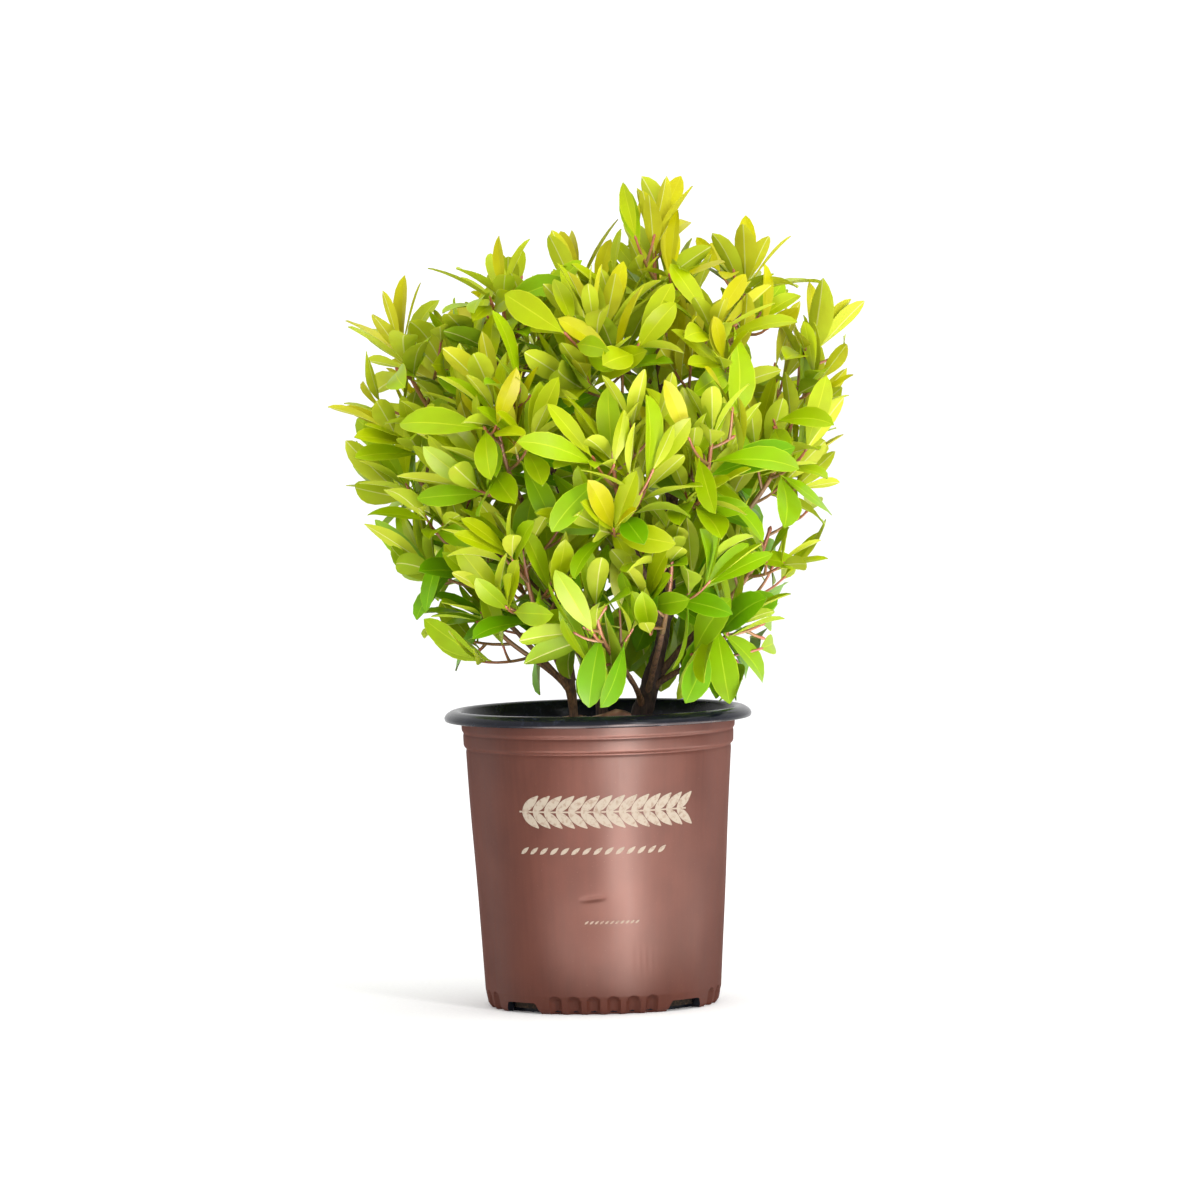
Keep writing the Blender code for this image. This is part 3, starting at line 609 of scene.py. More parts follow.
def even_steps(a, b, c, d, steps):
    """A cubic curve with handles b and c, as points at even distances, and its length."""
    fine = [
        a * (1 - t) ** 3 + b * (3 * t * (1 - t) ** 2) + c * (3 * t * t * (1 - t)) + d * t**3
        for t in (i / (steps * 4) for i in range(steps * 4 + 1))
    ]
    lengths = [0.0]
    for p, q in zip(fine, fine[1:]):
        lengths.append(lengths[-1] + (q - p).length)
    points, i = [], 0
    for k in range(steps + 1):
        target = lengths[-1] * k / steps
        while i < len(fine) - 2 and lengths[i + 1] < target:
            i += 1
        part = (target - lengths[i]) / (lengths[i + 1] - lengths[i])
        points.append(fine[i].lerp(fine[i + 1], part))
    return points, lengths[-1]


def ring_axes(way):
    """Two directions square to a way and to each other."""
    side = way.orthogonal().normalized()
    return side, way.cross(side).normalized()


def bark_relief(out, along, centre):
    """How far the bark stands out, as a share of the relief: ridges, knots and rings of leaf scars."""
    height, close, length = RIDGES
    ridge = height * noise.noise(out * close + UP * along / length + centre / RIDGE_CHANGE)
    height, close, length = KNOTS
    knot = height * noise.noise(out * close + UP * along / length)
    height, spacing, place, breadth = SCARS
    scar = height * math.exp(-(((along % spacing) - place) / breadth) ** 2)
    return ridge + knot + scar


def tube(limb, sides, relief=0.0, flat_foot=False):
    """A limb's closed tube as (points in metres, faces), with the bark's relief on it."""
    before = limb.ways[0]
    side, _ = ring_axes(before)
    points, faces, along = [], [], 0.0
    for i, (centre, radius, way) in enumerate(zip(limb.points, limb.radii, limb.ways)):
        side = before.rotation_difference(way) @ side
        before = way
        across = way.cross(side)
        along += (centre - limb.points[max(i - 1, 0)]).length
        for k in range(sides):
            turn = 2 * math.pi * k / sides
            out = side * math.cos(turn) + across * math.sin(turn)
            rough = relief * bark_relief(out, along, centre) if relief else 0.0
            points.append((centre + out * (radius + rough)) * MM)
        if flat_foot and i == 0:
            for point in points:
                point.z = centre.z * MM
    faces.append(tuple(range(sides))[::-1])
    last = (len(limb.points) - 1) * sides
    faces.append(tuple(range(last, last + sides)))
    for low in range(0, last, sides):
        for k in range(sides):
            j = (k + 1) % sides
            faces.append((low + k, low + j, low + sides + j, low + sides + k))
    return points, faces


def stem_limb(foot, tip, foot_radius, tip_radius, flare):
    """A stem from its flat cut, flared at the roots, to its fork."""
    start, end = Vector((*foot, SOIL_TOP + GAP)), Vector(tip)
    flared = FLARE_HEIGHT / (end - start).length
    count = round((end - start).length / BARK_RING)
    points, radii = [], []
    for share in (i / count for i in range(count + 1)):
        points.append(start.lerp(end, share))
        spread = 1 + (flare - 1) * max(0, 1 - share / flared) ** 2
        radii.append((foot_radius + (tip_radius - foot_radius) * share) * spread)
    return Limb(points, radii)


def bough_path(parent, share, heart, rise, start_radius):
    """The whole limb of a mass, from its parent to the heart and on to the leader's tip."""
    start, parent_way, _ = parent.at(share)
    towards = (heart - start).normalized()
    length = (heart - start).length
    leave = parent_way if share == 1 else (parent_way * PARENT_PULL + towards).normalized()
    arrive = (towards + UP * UPTURN).normalized()
    first = start + leave * length * FIRST_HANDLE
    last = heart - arrive * length * LAST_HANDLE
    points, run = even_steps(start, first, last, heart, PATH_STEPS)
    radii = []
    for i in range(PATH_STEPS + 1):
        left = 1 - i / PATH_STEPS
        radii.append(BOUGH_TIP_RADIUS + (start_radius - BOUGH_TIP_RADIUS) * left**BOUGH_TAPER)
    steps = max(2, round(rise * PATH_STEPS / run))
    way = (points[-1] - points[-2]).normalized()
    for i in range(1, steps + 1):
        way = (way + UP * LEADER_UPTURN).normalized()
        points.append(points[-1] + way * rise / steps)
        radii.append(BOUGH_TIP_RADIUS + (LEADER_TIP_RADIUS - BOUGH_TIP_RADIUS) * i / steps)
    return Limb(points, radii), run


limbs, leaders, wood = {}, {}, []
for name, row in STEMS.items():
    limbs[name] = stem_limb(*row)
    wood.append((limbs[name], SIDES["trunk" if name == "trunk" else "stem"], STEM_RELIEF, True))
for name, (parent, share, heart, rise, radius) in MASSES.items():
    whole, run = bough_path(limbs[parent], share, Vector(heart), rise, radius)
    end = (run - min(MASS_ENTRY, SHORT_ENTRY * run)) / (run + rise)
    length = end * (run + rise)
    bough = whole.part(0, end, round(length / BARK_RING))
    limbs[name] = bough.part(0, 1, LIMB_RINGS)
    leaders[name] = whole.part(end, 1, LEADER_RINGS)
    parent_radius = limbs[parent].at(share)[2] if share < 1 else 0
    for i, point in enumerate(bough.points):
        away = (point - bough.points[0]).length - parent_radius
        bough.radii[i] *= 1 + COLLAR * math.exp(-max(away, 0) / COLLAR_FADE)
    wood.append((bough, SIDES["thick" if radius > THICK else "thin"], BOUGH_RELIEF, False))
name, share, way, length, radius = STUB
start = limbs[name].at(share)[0]
reach = Vector(way).normalized() * length
path = [start + reach * i / STUB_STEPS for i in range(STUB_STEPS + 1)]
wood.append((Limb(path, [radius] * len(path)), SIDES["thin"], BOUGH_RELIEF, False))
woody = joined(
    "woody_stems_and_boughs",
    [tube(limb, sides, relief * limb.radii[0], flat) for limb, sides, relief, flat in wood],
)


def age_map(piece, ages):
    """Writes one value for each point of a piece into its UV map named age."""
    corners = np.zeros(len(piece.data.loops), int)
    piece.data.loops.foreach_get("vertex_index", corners)
    both = np.stack([ages[corners], ages[corners]], axis=1)
    piece.data.uv_layers.new(name="age").data.foreach_set("uv", both.ravel())


wood_ages = [np.repeat(np.array(limb.radii) / AGED_RADIUS, sides) for limb, sides, _, _ in wood]
age_map(woody, np.concatenate(wood_ages))
shade(woody, 70)

# Living bark: matt, dark brown on the old wood and tan on limbs under 5 mm thick, with fine cracks
# along the limb, a few millimetres apart.
bark, tree, shader = surface("shrub_bark", "#5a4030", 0.8, 1.45)
place = add(tree, "ShaderNodeTexCoord", {}).outputs["Object"]
ages = add(tree, "ShaderNodeUVMap", {}, uv_map="age").outputs[0]
thick = add(tree, "ShaderNodeSeparateXYZ", {"Vector": ages}).outputs[0]
years = [(0.19, "#94693f"), (0.28, "#7c5a3c"), (0.45, "#573e30"), (0.8, "#3f2c25")]
aged = add(tree, "ShaderNodeValToRGB", {"Fac": thick}, years)
stretched = add(tree, "ShaderNodeMapping", {"Vector": place, "Scale": (1, 1, 0.35)}).outputs[0]
cracks = add(tree, "ShaderNodeTexNoise", {"Vector": stretched, "Scale": 500.0, "Detail": 4.0}).outputs[0]
lines = add(tree, "ShaderNodeValToRGB", {"Fac": cracks}, [(0.35, "#4c4c4c"), (0.7, "#b8b8b8")])
cracked = add(
    tree,
    "ShaderNodeMix",
    {0: 0.8, 6: aged.outputs[0], 7: lines.outputs[0]},
    data_type="RGBA",
    blend_type="OVERLAY",
)
ridged = add(tree, "ShaderNodeBump", {"Height": cracks, "Strength": 0.7, "Distance": 0.5 * MM})
feed(tree, shader, {"Base Color": cracked.outputs[2], "Normal": ridged.outputs[0]})
woody.data.materials.append(bark)
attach(woody, "root")
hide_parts(*STEMS, *[f"bough_{name}" for name in MASSES])

# The shoots: this year's twigs, which go on from the boughs, branch at the golden angle and branch
# once more, with leaves in whorls that crowd towards each tip. They are thin, smooth and reddish. A
# leaf with no room is left out, and a shoot ends at its last leaf, in a small pointed bud.
GOLDEN_ANGLE = math.radians(137.508)
SEED = 6
SIDE_SHOOTS = 6
SHOOT_SHARES = (0.08, 0.84)
SHOOT_LENGTHS = (30.0, 58.0)
SHOOT_TILTS = (42.0, 66.0)
SHOOT_UPTURN = 1.0
LEVEL_HEIGHTS = (250.0, 330.0)  # shoots stay level under the first and turn up fully over the second
SHOOT_RADII = (1.45, 0.95)
SHOOT_BEND = (0.4, 0.55, 0.25)  # shares of its length: first handle, bend, and twice on from there
SHOOT_RINGS = 7
SHOOT_CLEAR = 0.25  # from this share of its length on, a shoot is clear of the boughs
TWIG_LENGTHS = (16.0, 28.0)
TWIG_SHARE = 0.42
TWIG_TILT = 0.9
TWIG_RINGS = 5
TWIG_SIDES = 6
BUD_RADII = (0.95, 1.3, 1.05, 0.25)  # times the shoot's
BUD_STEP = 1.7
BUD_SEAT = 1.0  # how far under the shoot's tip the bud starts
TURN_SPREAD = 0.25
MASS_REACH = 122.0
CELL_OVERLAP = 13.0  # how far a spray may reach among its neighbours
CROWN_OUTLINE = (  # height, middle in X, half width
    (245, 14, 134),
    (264, 14, 142),
    (300, 5, 150),
    (350, 12, 182),
    (410, 2, 207),
    (470, 0, 214),
    (530, 6, 212),
    (556, 14, 210),
    (580, 14, 172),
    (620, 46, 124),
    (632, 55, 58),
    (668, 55, 46),
)
HOLLOWS = 0.3  # how far the crown falls back in places
HOLLOW_SIZE = 75.0
HOLLOW_COUNT = 1.6  # how close they lie round the crown
HOLLOW_PLACE = Vector((134.5, 0, 0))  # in the noise, where the crown's left and right are full
LEADER_MARGIN = -7.0  # the leaders' leaves stand out of the crown by this much
SIDE_MARGIN = 27.0  # and those of the side shoots stay this far under its top
OPEN_FOOT = (  # X, reach each side, height, how far back: leaves leave these gaps round the stems
    (-73.0, 15.0, 298.0, 120.0),
    (-33.0, 9.0, 280.0, 120.0),
    (-130.0, 44.0, 267.0, 120.0),
    (42.0, 20.0, 272.0, 0.0),
    (51.0, 8.0, 308.0, 0.0),
)
EYE = Vector((3.6, -6000.0, 622.1))  # where the front is seen from
SKY_GAPS = (  # X, height, half width, half height of the gaps that this eye sees the sky through
    (142.0, 393.0, 9.0, 23.0),
    (137.0, 528.0, 15.0, 16.0),
    (98.0, 576.0, 8.0, 13.0),
    (166.0, 376.0, 10.0, 7.0),
    (130.0, 338.0, 12.0, 7.0),
    (77.0, 505.0, 5.0, 7.0),
    (-38.0, 598.0, 8.0, 15.0),
    (-108.0, 418.0, 4.0, 12.0),
    (-164.0, 489.0, 5.0, 7.0),
)
WHORLS = (  # distance from the shoot's tip, leaves, length, angle to the shoot, sag
    (0.5, 2, 57.0, 22.0, 0.0),
    (4.0, 3, 62.0, 40.0, 0.0),
    (12.0, 4, 67.0, 50.0, 0.06),
    (25.0, 3, 71.0, 63.0, 0.16),
    (40.0, 3, 72.0, 74.0, 0.3),
    (56.0, 2, 71.0, 84.0, 0.45),
    (72.0, 2, 70.0, 90.0, 0.55),
)
WHORL_REACH = 0.92
TILT_SPREAD = 15.0
SIZE_SPREAD = (0.84, 1.12)
FITTINGS = (  # more tilt, more sag and size of a leaf, tried in turn until it has room
    (0, 0, 1),
    (-14, 0, 1),
    (13, 0, 0.97),
    (-28, 0, 0.95),
    (0, 0, 0.86),
    (-16, 0, 0.82),
)
HANGING = ((0, 1.9, 1), (20, 1.3, 1), (0, 0.9, 1), (0, 0.5, 0.95))  # tried first under this height
HANGING_UNDER = 330.0
CROWN_FOOT = 260.0
CROWN_TOP = 620.0
DROOP = (2.4, 0.4)  # times the sag at the crown's foot and at its top
BREADTHS = (0.27, 0.36)
LOW_BREADTH = 1.28  # times the breadth at the crown's foot
FOLDS = (0.26, 0.52)
BENDS = (0.15, 0.75)
TWISTS = (-0.75, 0.75)
LEAF_NEAR = 0.12  # the share of a leaf, from its root, that may touch others
LEAF_TRIED = (0.3, 0.45, 0.8)  # shares of it that are tried against the gaps, with its corners
LEAF_APART = 84.0  # leaves whose middles are further apart can't touch
LEAF_OUT = 0.6  # a leaf's root stands this far off the middle of its shoot
YOUNG_LEVELS = 2  # so many whorls are young: narrower and straighter
YOUNG_BREADTH = 0.92
YOUNG_BEND = 0.4


def crown_at(height):
    """The crown's middle in X and its half width at a height."""
    heights, middles, halves = zip(*CROWN_OUTLINE)
    return np.interp(height, heights, middles), np.interp(height, heights, halves)


def in_gap(point):
    """Whether a point is in one of the gaps round the stems or in line with one to the sky."""
    for centre, reach, height, back in OPEN_FOOT:
        if point.z < height and abs(point.x - centre) < reach and point.y < back:
            return True
    seen = EYE + (point - EYE) * (EYE.y / (EYE.y - point.y))
    return any(
        ((seen.x - x) / wide) ** 2 + ((seen.z - z) / high) ** 2 < 1
        for x, z, wide, high in SKY_GAPS
    )


def in_crown(point, margin):
    """Whether a point is inside the crown by a margin. The crown falls back in hollows."""
    foot, top = CROWN_OUTLINE[0][0], CROWN_OUTLINE[-1][0]
    if point.z < foot or point.z + min(margin, 0) > top:
        return False
    for height in {point.z, point.z + margin} if margin > 0 else {point.z + margin}:
        height = min(max(height, foot), top)
        middle, half = crown_at(height)
        away = math.hypot(point.x - middle, point.y)
        around = Vector((point.x - middle, point.y, 0)) / (away + 1) + UP * point.z / HOLLOW_SIZE
        fall = noise.noise((around + HOLLOW_PLACE) * HOLLOW_COUNT)
        if away + margin / 4 > half * (1 - HOLLOWS * max(0.0, fall)):
            return False
    return True


class Space:
    """What one mass may fill: its own cell of the crown and a little of its neighbours' cells."""

    def __init__(self, name):
        self.heart = Vector(MASSES[name][2])
        self.walls = []
        for other, row in MASSES.items():
            if other != name:
                normal = (Vector(row[2]) - self.heart).normalized()
                self.walls.append((normal, normal.dot((self.heart + Vector(row[2])) / 2) + CELL_OVERLAP))

    def holds(self, point, margin=0.0):
        """Whether a point is in the mass's cell, and inside the crown by a margin."""
        if (point - self.heart).length > MASS_REACH or not in_crown(point, margin):
            return False
        return all(normal.dot(point) <= limit for normal, limit in self.walls)


def shoot_limb(start, way, length, rings):
    """A shoot that leaves at an angle and turns up to the light, if it isn't at the crown's foot."""
    upturn = SHOOT_UPTURN * np.interp(start.z, LEVEL_HEIGHTS, (0, 1))
    finish = (way + UP * upturn).normalized()
    handle, bend, on = SHOOT_BEND
    first = start + way * length * handle
    last = start + way * length * bend + finish * length * on
    points, _ = even_steps(start, first, last, last + finish * length * on, rings - 1)
    low, high = SHOOT_RADII
    return Limb(points, [low + (high - low) * i / (rings - 1) for i in range(rings)])


def branch(limb, share, turn, tilt, length, rings):
    """A shoot that leaves a limb at a share of its length, turned round it and tilted to it."""
    start, way, _ = limb.at(share)
    side, across = ring_axes(way)
    out = side * math.cos(turn) + across * math.sin(turn)
    return shoot_limb(start, way * math.cos(tilt) + out * math.sin(tilt), length, rings)


def tree_of(parts):
    """A search tree of many (points in metres, faces) parts, in millimetres, that tells what cuts it."""
    points, faces, first = [], [], 0
    for part_points, part_faces in parts:
        points += [Vector(point) / MM for point in part_points]
        faces += [tuple(first + k for k in face) for face in part_faces]
        first += len(part_points)
    return BVHTree.FromPolygons(points, faces)


class Leaf:
    """One leaf's place and shape: where it leaves the shoot, its three directions and its bends."""

    def __init__(self, root, way, out, tilt, sag, length, breadth, fold, bend, twist):
        self.along = (way * math.cos(tilt) + out * math.sin(tilt) - UP * sag).normalized()
        self.across = self.along.cross(way * math.sin(tilt) - out * math.cos(tilt)).normalized()
        self.upper = self.across.cross(self.along)
        self.root = root + self.along * LEAF_OUT
        self.length = length
        self.breadth = breadth
        self.fold = fold
        self.bend = bend
        self.twist = twist

    def spine(self, t):
        """The midrib's point at a share of the length: the blade curls down, most of all at its tip."""
        drop = self.bend * t**3 / 3
        reach = t - self.bend**2 * t**5 / 10
        return self.root + (self.along * reach - self.upper * drop) * self.length

    def proxy(self, start):
        """Five corners and six faces that stand for the leaf when it is tried for room."""
        middle = self.spine(0.6)
        half = self.across * (self.length * self.breadth / 2)
        lift = self.upper * (self.fold * self.length * self.breadth / 2)
        keel = middle - self.upper * (self.length * 0.02)
        tip = self.spine(1)
        return [self.spine(start), tip, middle - half + lift, middle + half + lift, keel]


PROXY_FACES = [(0, 3, 2), (1, 2, 3), (0, 2, 4), (0, 4, 3), (1, 4, 2), (1, 3, 4)]
limb_tree = tree_of([tube(limb.part(0, 1, 10), TWIG_SIDES) for limb in limbs.values()])
sprays = []  # each mass's name, space and shoots, the leader first
carriers = []  # each shoot, what it grows from, and how far along that
for name, leader in leaders.items():
    draw = random.Random(f"{SEED} {name}")
    space = Space(name)
    shoots = [leader]
    for k in range(SIDE_SHOOTS):
        low, high = SHOOT_SHARES
        turn = GOLDEN_ANGLE * k + draw.uniform(-TURN_SPREAD, TURN_SPREAD)
        tilt = math.radians(draw.uniform(*SHOOT_TILTS))
        place = low + (high - low) * k / (SIDE_SHOOTS - 1)
        shoot = branch(leader, place, turn, tilt, draw.uniform(*SHOOT_LENGTHS), SHOOT_RINGS)
        turn = draw.uniform(0, 2 * math.pi)
        twig = branch(shoot, TWIG_SHARE, turn, TWIG_TILT, draw.uniform(*TWIG_LENGTHS), TWIG_RINGS)
        for limb, carrier, where in ((shoot, leader, place), (twig, shoot, TWIG_SHARE)):
            clear = not tree_of([tube(limb.part(SHOOT_CLEAR, 1, 4), 4)]).overlap(limb_tree)
            if not clear or not all(space.holds(point) for point in limb.points[2:]):
                break
            shoots.append(limb)
            carriers.append((limb, carrier, where))
    sprays.append((name, space, shoots))

candidates = []
for name, space, shoots in sprays:
    draw = random.Random(f"{SEED} leaves {name}")
    for shoot in shoots:
        margin = LEADER_MARGIN if shoot is shoots[0] else SIDE_MARGIN
        run = shoot.run()
        turn = draw.uniform(0, 2 * math.pi)
        mood = draw.gauss(0, 1)
        for level, (distance, count, length, angle, sag) in enumerate(WHORLS):
            if distance > run * WHORL_REACH:
                break
            place = 1 - distance / run
            root, way, _ = shoot.at(place)
            side, across = ring_axes(way)
            high = np.interp(root.z, (CROWN_FOOT, CROWN_TOP), (0, 1)) ** 0.5
            hang = sag * (DROOP[0] + (DROOP[1] - DROOP[0]) * high)
            broad = LOW_BREADTH + (1 - LOW_BREADTH) * high
            young = level < YOUNG_LEVELS
            fittings = FITTINGS if young or root.z > HANGING_UNDER else HANGING + FITTINGS
            for k in range(count):
                around = turn + 2 * math.pi * k / count + draw.uniform(-TURN_SPREAD, TURN_SPREAD)
                out = side * math.cos(around) + across * math.sin(around)
                tilt = angle + draw.uniform(-TILT_SPREAD, TILT_SPREAD)
                size = length * draw.uniform(*SIZE_SPREAD)
                shape = (
                    draw.uniform(*BREADTHS) * (YOUNG_BREADTH if young else broad),
                    draw.uniform(*FOLDS),
                    draw.uniform(*BENDS) * (YOUNG_BEND if young else 1),
                    draw.uniform(*TWISTS),
                )
                choices = [
                    Leaf(root, way, out, math.radians(tilt + lean), hang + more, size * smaller, *shape)
                    for lean, more, smaller in fittings
                ]
                candidates.append((level, margin, mood, space, shoot, place, choices))
            turn += GOLDEN_ANGLE
candidates.sort(key=lambda row: row[:2])
kept, trees, centres = [], [], []
ends = {}  # the share of its length at which each shoot ends
for level, margin, mood, space, shoot, place, choices in candidates:
    for leaf in choices:
        corners = leaf.proxy(LEAF_NEAR)
        if not all(space.holds(corner, margin) for corner in corners):
            continue
        if any(in_gap(point) for point in corners + [leaf.spine(t) for t in LEAF_TRIED]):
            continue
        shape = BVHTree.FromPolygons(corners, PROXY_FACES)
        if shape.overlap(limb_tree):
            continue
        middle = np.array(leaf.spine(0.5))
        if centres:
            near = np.nonzero(((np.array(centres) - middle) ** 2).sum(axis=1) < LEAF_APART**2)[0]
            if any(shape.overlap(trees[i]) for i in near):
                continue
        kept.append((leaf, level, mood))
        trees.append(shape)
        centres.append(middle)
        ends[shoot] = max(ends.get(shoot, 0.0), place)
        break

for limb, carrier, where in reversed(carriers):
    if limb in ends:
        ends[carrier] = max(ends.get(carrier, 0.0), where + 0.05)
grown = [limb.part(0, end, len(limb.points)) for limb, end in ends.items()]
buds = []
for limb in grown:
    tip, way, radius = limb.points[-1], limb.ways[-1], limb.radii[-1]
    path = [tip + way * (i * BUD_STEP - BUD_SEAT) for i in range(len(BUD_RADII))]
    buds.append(Limb(path, [radius * share for share in BUD_RADII]))
twigs = joined("reddish_twigs_and_buds", [tube(limb, TWIG_SIDES) for limb in grown + buds])
twig_ages = [np.repeat(np.linspace(0, 1, len(limb.points)), TWIG_SIDES) for limb in grown]
bud_ages = [np.ones(len(bud.points) * TWIG_SIDES) for bud in buds]
age_map(twigs, np.concatenate(twig_ages + bud_ages))
shade(twigs, 70)

# Young bark: smooth and slightly waxy, tan at the foot of a shoot and rosy towards its tip, with
# faint paler flecks under a millimetre long.
rosy, tree, shader = surface("rosy_young_bark", "#a5643f", 0.55, 1.47)
place = add(tree, "ShaderNodeTexCoord", {}).outputs["Object"]
ages = add(tree, "ShaderNodeUVMap", {}, uv_map="age").outputs[0]
age = add(tree, "ShaderNodeSeparateXYZ", {"Vector": ages}).outputs[0]
seasons = [(0.0, "#8c7040"), (0.5, "#a26e41"), (0.95, "#b5654a")]
season = add(tree, "ShaderNodeValToRGB", {"Fac": age}, seasons)
flecks = add(tree, "ShaderNodeTexNoise", {"Vector": place, "Scale": 600.0, "Detail": 2.0}).outputs[0]
pale = add(tree, "ShaderNodeMapRange", {"Value": flecks, "From Min": 0.58, "From Max": 0.7, "To Max": 0.3})
flecked = add(
    tree,
    "ShaderNodeMix",
    {0: pale.outputs[0], 6: season.outputs[0], 7: linear("#c9a374")},
    data_type="RGBA",
)
feed(tree, shader, {"Base Color": flecked.outputs[2]})
twigs.data.materials.append(rosy)
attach(twigs, "root")

# The leaves: leathery blades, broadest a little past the middle. The youngest stand up round the
# bud, and the older ones lie flat and bend down by their own weight. Each is a closed blade, folded a
# little along a pale midrib, on a short stalk.
STALK = 0.07  # share of the leaf
LEAF_ROWS = (0.0, STALK, 0.19, 0.35, 0.52, 0.68, 0.82, 0.93, 1.0)
LEAF_ACROSS = (-1.0, -0.94, -0.045, 0.045, 0.94, 1.0)  # on the upper side, from margin to margin
KEEL_ACROSS = (0.05, -0.05)  # on the underside, each side of the midrib
LEAF_THICKNESS = 0.011
LEAF_ROLL = 0.16  # how far the margins turn down
STALK_WIDTH = 0.06  # share of the blade's half width, as is the tip's
TIP_WIDTH = 0.03
FULLNESS = 3.22  # makes the half width 1 where the blade is broadest
TIP_TAPER = 0.72  # a higher one draws the tip out more
TINTS = {  # upper side, underside, midrib and margin, and the least score of a leaf of this tint
    "deep": ("#70a602", "#9dbd22", "#92be1c", -99.0),
    "green": ("#8ab202", "#b1c926", "#a8c71e", -0.9),
    "bright": ("#9cb902", "#bfce2a", "#b6ca20", -0.2),
    "lime": ("#abbb02", "#c8d230", "#c1cc22", 0.6),
    "gold": ("#bdb902", "#ccca28", "#c4c020", 1.6),
}
# Painted light: leaves higher up and further out from the pot's axis get lighter tints, and low and inner
# ones darker tints, as painted shade.
PAINTED_LIGHT_HEIGHT = 445.0  # leaves over this are lighter
PAINTED_LIGHT_RISE = 180.0  # and those this far above it by more than a whole tint
PAINTED_LIGHT_REACH = 200.0  # and so are those this far out from the pot's axis
TINT_MOOD = 0.4  # how much one shoot's leaves differ from another's
TINT_AGE = 0.5  # how much darker each older whorl is
TINT_START = 0.6  # the score of a leaf of the youngest whorl, in the axis and at that height
LEAF_MATERIALS = {"upper": 0, "rib": 1, "under": 2, "keel": 3}


def half_width(t):
    """The blade's half width at a share of its length, where 1 is the broadest."""
    if t <= STALK:
        return STALK_WIDTH
    s = (t - STALK) / (1 - STALK)
    return max(TIP_WIDTH, FULLNESS * s * (1 - s) ** TIP_TAPER)


def tint_of(leaf, level, mood):
    """Young leaves are gold and lime and old ones green; high and outer leaves get lighter tints as painted
    light, low and inner ones darker tints as painted shade.
    """
    middle = leaf.spine(0.5)
    # the height and reach terms paint light and shade into the tint; the age and mood terms are the leaves'
    # own colour
    painted_light_by_height = (middle.z - PAINTED_LIGHT_HEIGHT) / PAINTED_LIGHT_RISE
    painted_light_by_reach = math.hypot(middle.x, middle.y) / PAINTED_LIGHT_REACH
    score = painted_light_by_height + painted_light_by_reach + TINT_MOOD * mood - TINT_AGE * level + TINT_START
    return [name for name, row in TINTS.items() if score >= row[-1]][-1]


def blade(leaf):
    """A leaf's closed mesh and the material of each face: six lines of points above, two below."""
    points, faces, materials = [], [], []
    broadest = leaf.length * leaf.breadth / 2
    thickness = leaf.length * LEAF_THICKNESS
    for t in LEAF_ROWS:
        heading = (leaf.spine(t + 0.02) - leaf.spine(t - 0.02)).normalized()
        lean = Matrix.Rotation(leaf.twist * t, 3, heading)
        across = lean @ leaf.across
        above = across.cross(heading)
        width = broadest * half_width(t)
        for reach in LEAF_ACROSS:
            lift = (leaf.fold * abs(reach) - LEAF_ROLL * reach**2) * width
            points.append((leaf.spine(t) + across * reach * width + above * lift) * MM)
        for reach in KEEL_ACROSS:
            points.append((leaf.spine(t) + across * reach * broadest - above * thickness) * MM)
    ring = len(LEAF_ACROSS) + len(KEEL_ACROSS)
    kinds = ("rib", "upper", "rib", "upper", "rib", "under", "keel", "under")
    for low in range(0, ring * (len(LEAF_ROWS) - 1), ring):
        for k, kind in enumerate(kinds):
            j = (k + 1) % ring
            face = (low + k, low + j, low + ring + j, low + ring + k)
            # an underside is split along the same diagonal as the upper side over it
            faces.append(face[1:] + face[:1] if kind == "under" else face)
            materials.append(LEAF_MATERIALS["rib" if low == 0 else kind])
    faces += [tuple(range(ring))[::-1], tuple(range(ring * (len(LEAF_ROWS) - 1), ring * len(LEAF_ROWS)))]
    materials += [LEAF_MATERIALS["rib"], LEAF_MATERIALS["upper"]]
    return points, faces, materials


def leaf_surface(name, colour, roughness, wax):
    """Living leaf: a plain base colour with a faint mottle, each patch about a leaf across."""
    material, tree, shader = surface(name, colour, roughness, 1.45)
    place = add(tree, "ShaderNodeTexCoord", {}).outputs["Object"]
    patches = add(tree, "ShaderNodeTexNoise", {"Vector": place, "Scale": 45.0, "Detail": 2.0}).outputs[0]
    hues = add(tree, "ShaderNodeMapRange", {"Value": patches, "To Min": 0.488, "To Max": 0.512})
    values = add(tree, "ShaderNodeMapRange", {"Value": patches, "To Min": 0.8, "To Max": 1.2})
    shift = {"Hue": hues.outputs[0], "Value": values.outputs[0], "Color": linear(colour)}
    mottled = add(tree, "ShaderNodeHueSaturation", shift)
    gloss = {"Specular IOR Level": 0.13, "Coat Weight": wax, "Coat Roughness": 0.3}
    feed(tree, shader, {"Base Color": mottled.outputs[0], **gloss})
    return material


# Cuticle: the upper side is leathery with a waxy gloss, the underside is matt and paler, and the
# midrib and the thin margin are a little paler than the blade.
keel = leaf_surface("pale_underside_midrib", "#dfe384", 0.6, 0.0)
dealt = {name: [] for name in TINTS}
for leaf, level, mood in kept:
    dealt[tint_of(leaf, level, mood)].append(blade(leaf))
for name, (upper, under, rib, _) in TINTS.items():
    leaves = joined(f"evergreen_leaves_{name}", [part[:2] for part in dealt[name]])
    leaves.data.materials.append(leaf_surface(f"glossy_leaf_top_{name}", upper, 0.42, 0.06))
    leaves.data.materials.append(leaf_surface(f"pale_leaf_midrib_{name}", rib, 0.5, 0.0))
    leaves.data.materials.append(leaf_surface(f"matt_leaf_underside_{name}", under, 0.6, 0.0))
    leaves.data.materials.append(keel)
    kinds = [kind for part in dealt[name] for kind in part[2]]
    leaves.data.polygons.foreach_set("material_index", kinds)
    shade(leaves, 65)
    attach(leaves, "root")
    if name == "green":
        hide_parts(*[f"mass_{mass}" for mass in MASSES])

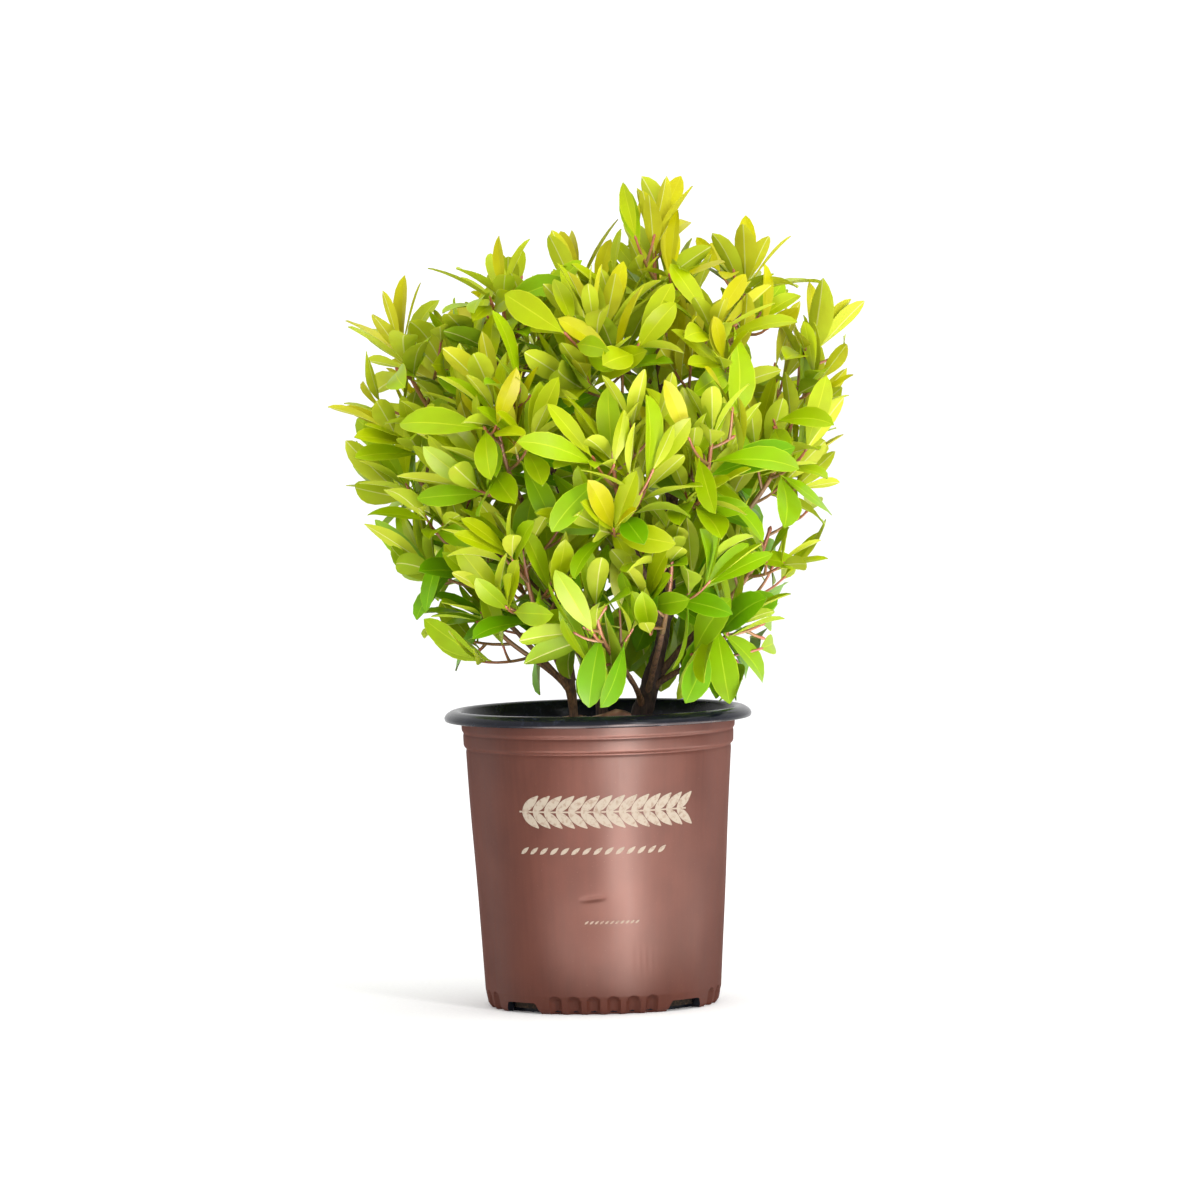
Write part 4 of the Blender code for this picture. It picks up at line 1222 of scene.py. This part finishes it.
# The studio: a white floor that runs out to a white sky, one tall soft light in front and to the
# right, and a wide one above. The wall leans out, so it mirrors the floor: strips of light that lie
# there draw the bright streak down it, and the sheen beside that and along the foot.
CAMERA_DOWN = 2.82  # degrees, as is the roll
CAMERA_ROLL = -1.18
LENS = 223.1  # on a sensor 36 mm wide
LIGHTS = {  # place in metres, size across and up, power in watts
    "key_light": ((1.7, -2.8, 1.3), (0.5, 2.4), 56.0),
    "top_light": ((1.4, -0.2, 2.9), (1.6, 1.8), 16.0),
}
FLOOR_STRIPS = (  # degrees to the right, distance, width, length, watts for each square metre
    (4, 0.24, 0.48, 0.09, 62.0),
    (19, 0.27, 0.09, 0.16, 78.0),
    (19, 0.52, 0.17, 0.34, 116.0),
    (20, 0.98, 0.34, 0.56, 138.0),
    (20, 1.76, 0.64, 1.0, 178.0),
    (54, 1.0, 0.7, 1.5, 28.0),
    (-16, 1.0, 0.5, 1.5, 23.0),
)
STRIP_HEIGHT = 0.004
STRIP_COLOUR = (1.0, 0.8, 0.72)
AIM = Vector((0, 0, 0.38))


def area_light(name, place, turn, size, power):
    """Adds a rectangular lamp, with its place and size in metres and its power in watts."""
    light = bpy.data.lights.new(name, "AREA")
    light.shape = "RECTANGLE"
    light.size, light.size_y = size
    light.energy = power
    lamp = bpy.data.objects.new(name, light)
    lamp.location = place
    lamp.rotation_euler = turn
    bpy.context.scene.collection.objects.link(lamp)
    return lamp


world = bpy.data.worlds.new("white_studio")
bpy.context.scene.world = world
world.use_nodes = True
sky = world.node_tree.nodes["Background"]
feed(world.node_tree, sky, {"Color": (1.0, 1.0, 1.0, 1.0), "Strength": 1.16})
for name, (place, size, power) in LIGHTS.items():
    turn = (AIM - Vector(place)).to_track_quat("-Z", "Y").to_euler()
    area_light(name, place, turn, size, power)
for k, (turn, distance, width, length, power) in enumerate(FLOOR_STRIPS):
    aim = math.radians(turn)
    place = (distance * math.sin(aim), -distance * math.cos(aim), STRIP_HEIGHT)
    size, power = (width, length), power * width * length
    lamp = area_light(f"floor_strip_{k}", place, (math.pi, 0, aim), size, power)
    lamp.data.color = STRIP_COLOUR
    lamp.visible_camera = False
    lamp.visible_diffuse = False

bpy.ops.object.select_all(action="DESELECT")
bpy.ops.mesh.primitive_plane_add(size=60, location=(0, 0, -0.0002))
floor = bpy.context.object
floor.name = "studio_floor"
white, tree, shader = surface("matt_white_paper", "#fafafa", 0.9, 1.45)
place = add(tree, "ShaderNodeTexCoord", {}).outputs["Object"]
fibres = add(tree, "ShaderNodeTexNoise", {"Vector": place, "Scale": 300.0, "Detail": 2.0}).outputs[0]
paper = add(tree, "ShaderNodeValToRGB", {"Fac": fibres}, [(0.3, "#f7f7f7"), (0.7, "#fdfdfd")])
feed(tree, shader, {"Base Color": paper.outputs[0]})
floor.data.materials.append(white)

camera = bpy.data.objects.new("camera", bpy.data.cameras.new("camera"))
camera.location = EYE * MM
looking = Matrix.Rotation(math.radians(90 - CAMERA_DOWN), 4, "X")
rolled = Matrix.Rotation(math.radians(CAMERA_ROLL), 4, "Z")
camera.rotation_euler = (looking @ rolled).to_euler()
camera.data.lens = LENS
camera.data.sensor_width = 36.0
camera.data.sensor_fit = "HORIZONTAL"
bpy.context.scene.collection.objects.link(camera)
bpy.context.scene.camera = camera
bpy.context.scene.view_settings.view_transform = "Standard"
